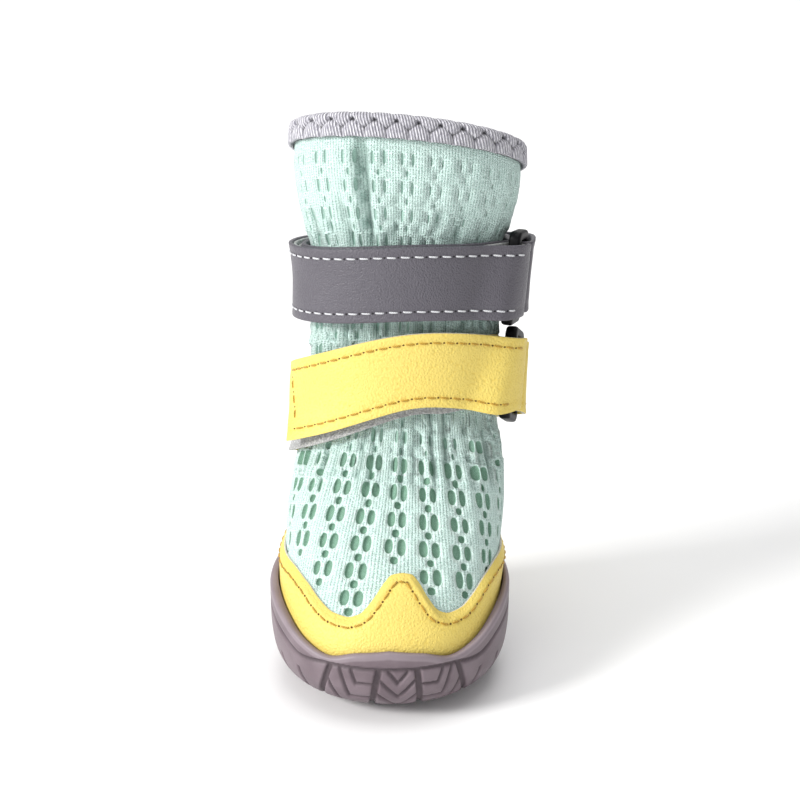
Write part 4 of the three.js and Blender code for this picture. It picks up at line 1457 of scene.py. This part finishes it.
class Tape:
    """A tape that lies on the boot up to its ring's bar, folds round it and comes back over itself."""

    def __init__(self, strap, start, end, thickness, side):
        self.strap, self.side, self.thickness, self.end = strap, side, thickness, end
        half = thickness / 2
        self.under = TAPE_LIFT + half
        over = self.under + thickness + GAP
        self.round = RING["thickness"] / 2 + 2 * GAP + half
        ring = math.radians(RING["angle"])
        leaving, landing = ring + side * BESIDE_BAR, ring + side * LANDING
        self.first = stations(math.radians(start), leaving)
        settle = stations(leaving, landing)
        last = stations(landing, math.radians(end))[1:]
        height = over + (RING_LIFT + self.round + 0.3 - over) * (1 - ease(leaving, landing, settle))
        self.last = np.append(settle, last)
        self.over = np.append(height, np.full(len(last), over))
        self.turns = np.radians(np.linspace(-90, 90, 19))
        self.bar = side * (RING["width"] + RING["slot_width"]) / 4
        self.frame = ring_frame(strap)

    def points(self, across, depth, droop=0.0, lift=None):
        """Grid of points, a row for each station. depth is towards the bar from the tape's middle.
        droop moves the under layer down at its lowest; lift raises the upper layer."""
        across, depth = np.asarray(across, float), np.asarray(depth, float)
        degrees = np.degrees(self.first)
        sag = droop * ease(STRAP_START, -120, degrees) * (1 - ease(30, 66, degrees))
        lowered = across[None] - sag[:, None]
        under = strap_point(self.strap, self.first[:, None], lowered, self.under + depth[None])
        origin, along, upwards, normal = self.frame
        drop = np.where(self.turns < 0, RING_LIFT - self.under + BAR_DROP, self.round)
        out = self.bar - self.side * np.cos(self.turns)[:, None] * (self.round - depth[None])
        up = RING_LIFT + np.sin(self.turns)[:, None] * (drop[:, None] - depth[None])
        fold = origin + along * out[..., None] + normal * up[..., None] + upwards * across[None, :, None]
        raised = self.over[:, None] - depth[None]
        if lift is not None:
            raised = raised + lift(np.degrees(self.last)[:, None], across[None])
        back = strap_point(self.strap, self.last[:, None], across[None], raised)
        grid = np.concatenate((under, fold, back))
        for _ in range(SMOOTHINGS):
            grid[1:-1] = grid[1:-1] / 2 + (grid[:-2] + grid[2:]) / 4
        return grid


SMOOTHINGS = 3  # rounds of smoothing along a tape, which ease it off the boot
LEATHER_SHARE = 0.95  # thickness of the strap's leather; the rest of the strap is loop tape
SEAMS = (STRAP_WIDTH / 2 - 2.0, -STRAP_WIDTH / 2 + 2.0)  # the rows of stitches along a strap
CROSS_INSET = 1.4  # how far the row across its end stops short of them
SUNK_THREAD = 0.12
STITCH_DENT = 0.16  # how deep the stitches pull the leather in


def strip_profile(width, low, high):
    """Closed outline of a strip's section: positions across it and through it."""
    reach, corner, count = width / 2, 0.22, 29
    face = np.linspace(-reach + corner, reach - corner, count)
    near = corner * 0.3
    across = [*face, reach - near, reach, reach, reach - near, *face[::-1], -reach + near, -reach, -reach,
              -reach + near]
    through = [*np.full(count, low), low + near, low + corner, high - corner, high - near,
               *np.full(count, high), high - near, high - corner, low + corner, low + near]
    return np.array(across), np.array(through)


def strip_shape(tape, width, low, high, stitched, droop=0.0, lift=None):
    """A strip of a tape between two depths. A stitched one is leather with raw edges."""
    shape = Shape()
    across, through = strip_profile(width, low, high)
    grid = tape.points(across, through, droop, lift)
    run = run_along(grid[:, grid.shape[1] // 2])
    mark = np.zeros(grid.shape[:2])
    for row in SEAMS if stitched else ():
        mark = np.maximum(mark, stitch_marks(np.abs(across[None] - row), run[:, None], STITCH["pitch"]))
    facing = np.roll(grid, -1, 1) - np.roll(grid, 1, 1)
    out = unit(np.cross(facing, np.gradient(grid, axis=0)))
    out = out * np.sign((out * (grid - grid.mean(1, keepdims=True))).sum(-1).mean())
    flat = (np.abs(across) < width / 2 - 0.3)[None]
    grid = grid - out * (STITCH_DENT * mark * flat)[..., None]
    relief = np.stack((mark, np.broadcast_to(np.abs(across) / (width / 2), mark.shape)), -1)
    side = np.abs(across) >= width / 2 - 0.02
    cut = np.where(side & np.roll(side, -1), 1, 0) if stitched else np.zeros(len(across), int)
    pattern = pattern_of(np.append(across, across[0]), run)
    add_skin(shape, grid, pattern, wrapped(relief), np.repeat(cut[None], len(grid), 0))
    add_caps(shape, 0, *grid.shape[:2], pattern, 1 if stitched else 0)
    return shape


def seam_on(tape, across, depth, low, high, droop, lift):
    """A line of stitches on a tape's upper layer, between two angles, and its normals."""
    grid = tape.points(np.array([across, across]), np.array([depth, depth + 0.4]), droop, lift)
    outs = unit(grid[:, 0] - grid[:, 1])
    start = len(tape.first) + len(tape.turns)
    chosen = np.zeros(len(grid), bool)
    degrees = np.degrees(tape.last)
    chosen[start:] = (degrees >= min(low, high)) & (degrees <= max(low, high))
    return grid[chosen, 0], outs[chosen]


def cross_seam(tape, angle, depth, lift):
    """A short row of stitches straight across a tape's upper layer."""
    across = np.linspace(SEAMS[1] + CROSS_INSET, SEAMS[0] - CROSS_INSET, 9)
    raised = np.full(9, tape.over[-1] - depth)
    if lift is not None:
        raised = raised + lift(np.degrees(angle), across)
    line = strap_point(tape.strap, np.full(9, angle), across, raised)
    above = strap_point(tape.strap, np.full(9, angle), across, raised + 0.4)
    return line, unit(above - line)


def corner_lift(end, amount):
    """The end of a strap standing a little proud, most at its lower corner."""

    def lift(degrees, across):
        near = 1 - ease(0, 14, degrees - end)
        return amount * near**1.5 * (0.55 - 0.45 * across / (STRAP_WIDTH / 2))

    return lift


def band_pieces(name, strap, tape, leather, seam_ends, cross_at, droop=0.0, lift=None):
    """A strap or a tab: its leather, its loop tape where it is thicker than that, and its stitches."""
    half = tape.thickness / 2
    skin = strip_shape(tape, STRAP_WIDTH, -half, -half + leather, True, droop, lift)
    piece(f"{name}_leather", skin, [strap["leather"], strap["edge"]], f"{strap['leather']}_leather", name,
          sharp=50)
    if leather < tape.thickness:
        low = -half + leather + 0.02
        back = strip_shape(tape, STRAP_WIDTH - 0.5, low, half, False, droop + 0.3, lift)
        piece(f"{name}_loop", back, ["loop"], "loop_lining", sharp=50)
    depth = -half + SUNK_THREAD
    seams = [seam_on(tape, row, depth, *seam_ends, droop, lift) for row in SEAMS]
    seams.append(cross_seam(tape, math.radians(cross_at), depth, lift))
    thread_piece(f"{name}_stitches", seams, strap["thread"])


def strap_pieces(level, strap):
    """A strap from its start round the boot to its ring, and back over itself to its end."""
    end, droop = strap["end"], strap["droop"]
    tape = Tape(strap, STRAP_START, end, STRAP_THICKNESS, -1)
    lift = corner_lift(end, strap["lift"])
    band_pieces(f"{level}_strap", strap, tape, LEATHER_SHARE, (end + 3.5, 72), end + 4.5, droop, lift)


def tab_pieces(level, strap):
    """The short tape that holds a ring."""
    tape = Tape(strap, TAB_START, TAB_END, LEATHER, 1)
    band_pieces(f"{level}_ring_tab", strap, tape, LEATHER, (92, TAB_END - 4), TAB_END - 5)


def rounded_oblong(width, height, radius):
    """Points round a rectangle with round corners, the same number for any size."""
    centres = [(1, -1, -90), (1, 1, 0), (-1, 1, 90), (-1, -1, 180)]
    arcs = []
    for side_x, side_y, start in centres:
        centre = np.array([side_x * (width / 2 - radius), side_y * (height / 2 - radius)])
        turn = np.radians(start + np.linspace(0, 90, 10))
        arcs.append(centre + radius * np.stack((np.cos(turn), np.sin(turn)), -1))
    share = np.linspace(0, 1, 14)[1:-1, None]
    sides = [arc[-1] * (1 - share) + after[0] * share for arc, after in zip(arcs, arcs[1:] + arcs[:1])]
    return np.concatenate([part for pair in zip(arcs, sides) for part in pair])


def ring_piece(level, strap):
    """A moulded ring: a flat frame with softly rounded bars."""
    origin, along, across, normal = ring_frame(strap)
    outer = rounded_oblong(RING["width"], RING["height"], RING["corner"])
    inner = rounded_oblong(RING["slot_width"], RING["slot_height"], RING["slot_corner"])
    turn = np.linspace(0, TURN, 20, endpoint=False)
    power = 2 / 3.6
    reach = np.sign(np.cos(turn)) * np.abs(np.cos(turn)) ** power
    lift = np.sign(np.sin(turn)) * np.abs(np.sin(turn)) ** power * RING["thickness"] / 2
    share = (1 - reach) / 2
    flat = outer[:, None] * (1 - share[None, :, None]) + inner[:, None] * share[None, :, None]
    raised = (RING_LIFT + np.broadcast_to(lift, flat.shape[:2]))[..., None]
    shape = Shape()
    pattern = pattern_of(np.arange(len(turn) + 1) * 0.4, np.arange(len(outer) + 1) * 0.5)
    points = origin + flat[..., :1] * along + flat[..., 1:] * across + raised * normal
    add_skin(shape, points, pattern, close_rows=True)
    piece(f"{level}_ring", shape, ["plastic"], "ring_plastic", f"{level}_ring")


for make in (strap_pieces, tab_pieces, ring_piece):
    for level, strap in STRAPS.items():
        make(level, strap)

# ---- Floor, camera and light ----

CAMERA = {"elevation": 19.5, "distance": 0.38, "lens": 80.0, "target": (0.0022, 0.005, 0.0575)}
LIT_POINT = Vector((0, 0.005, 0.055))


def make_floor():
    bpy.ops.mesh.primitive_plane_add(size=6)
    floor = bpy.context.object
    floor.name = "floor"
    floor.data.materials.append(floor_finish())


def make_camera():
    rise = math.radians(CAMERA["elevation"])
    back = Vector((0, -math.cos(rise), math.sin(rise)))
    camera = bpy.data.objects.new("camera", bpy.data.cameras.new("camera"))
    bpy.context.scene.collection.objects.link(camera)
    camera.data.lens = CAMERA["lens"]
    camera.data.clip_start = 0.01
    camera.location = Vector(CAMERA["target"]) + back * CAMERA["distance"]
    camera.rotation_euler = (-back).to_track_quat("-Z", "Y").to_euler()
    bpy.context.scene.camera = camera


LIGHTS = [
    # name, place, watts, size, colour
    ("key", (-2.1, -1.0, 1.3), 68.0, 0.8, (1.0, 0.99, 0.975)),
    ("fill", (-0.8, -2.3, 0.3), 13.0, 1.2, (0.97, 0.98, 1.0)),
    ("top", (0.1, 0.2, 2.4), 24.0, 1.8, (1.0, 1.0, 1.0)),
    ("back", (0.2, 2.6, 1.9), 16.0, 1.6, (1.0, 1.0, 1.0)),
]


def make_lights():
    for name, place, watts, size, colour in LIGHTS:
        data = bpy.data.lights.new(name, "AREA")
        data.energy, data.size, data.color = watts, size, colour
        light = bpy.data.objects.new(name, data)
        light.location = place
        light.rotation_euler = (LIT_POINT - Vector(place)).to_track_quat("-Z", "Y").to_euler()
        bpy.context.scene.collection.objects.link(light)
    world = bpy.data.worlds.new("studio")
    world.use_nodes = True
    background = world.node_tree.nodes["Background"]
    background.inputs["Color"].default_value = (1, 1, 1, 1)
    background.inputs["Strength"].default_value = 0.42
    bpy.context.scene.world = world
    bpy.context.scene.view_settings.view_transform = "Standard"


make_floor()
make_camera()
make_lights()
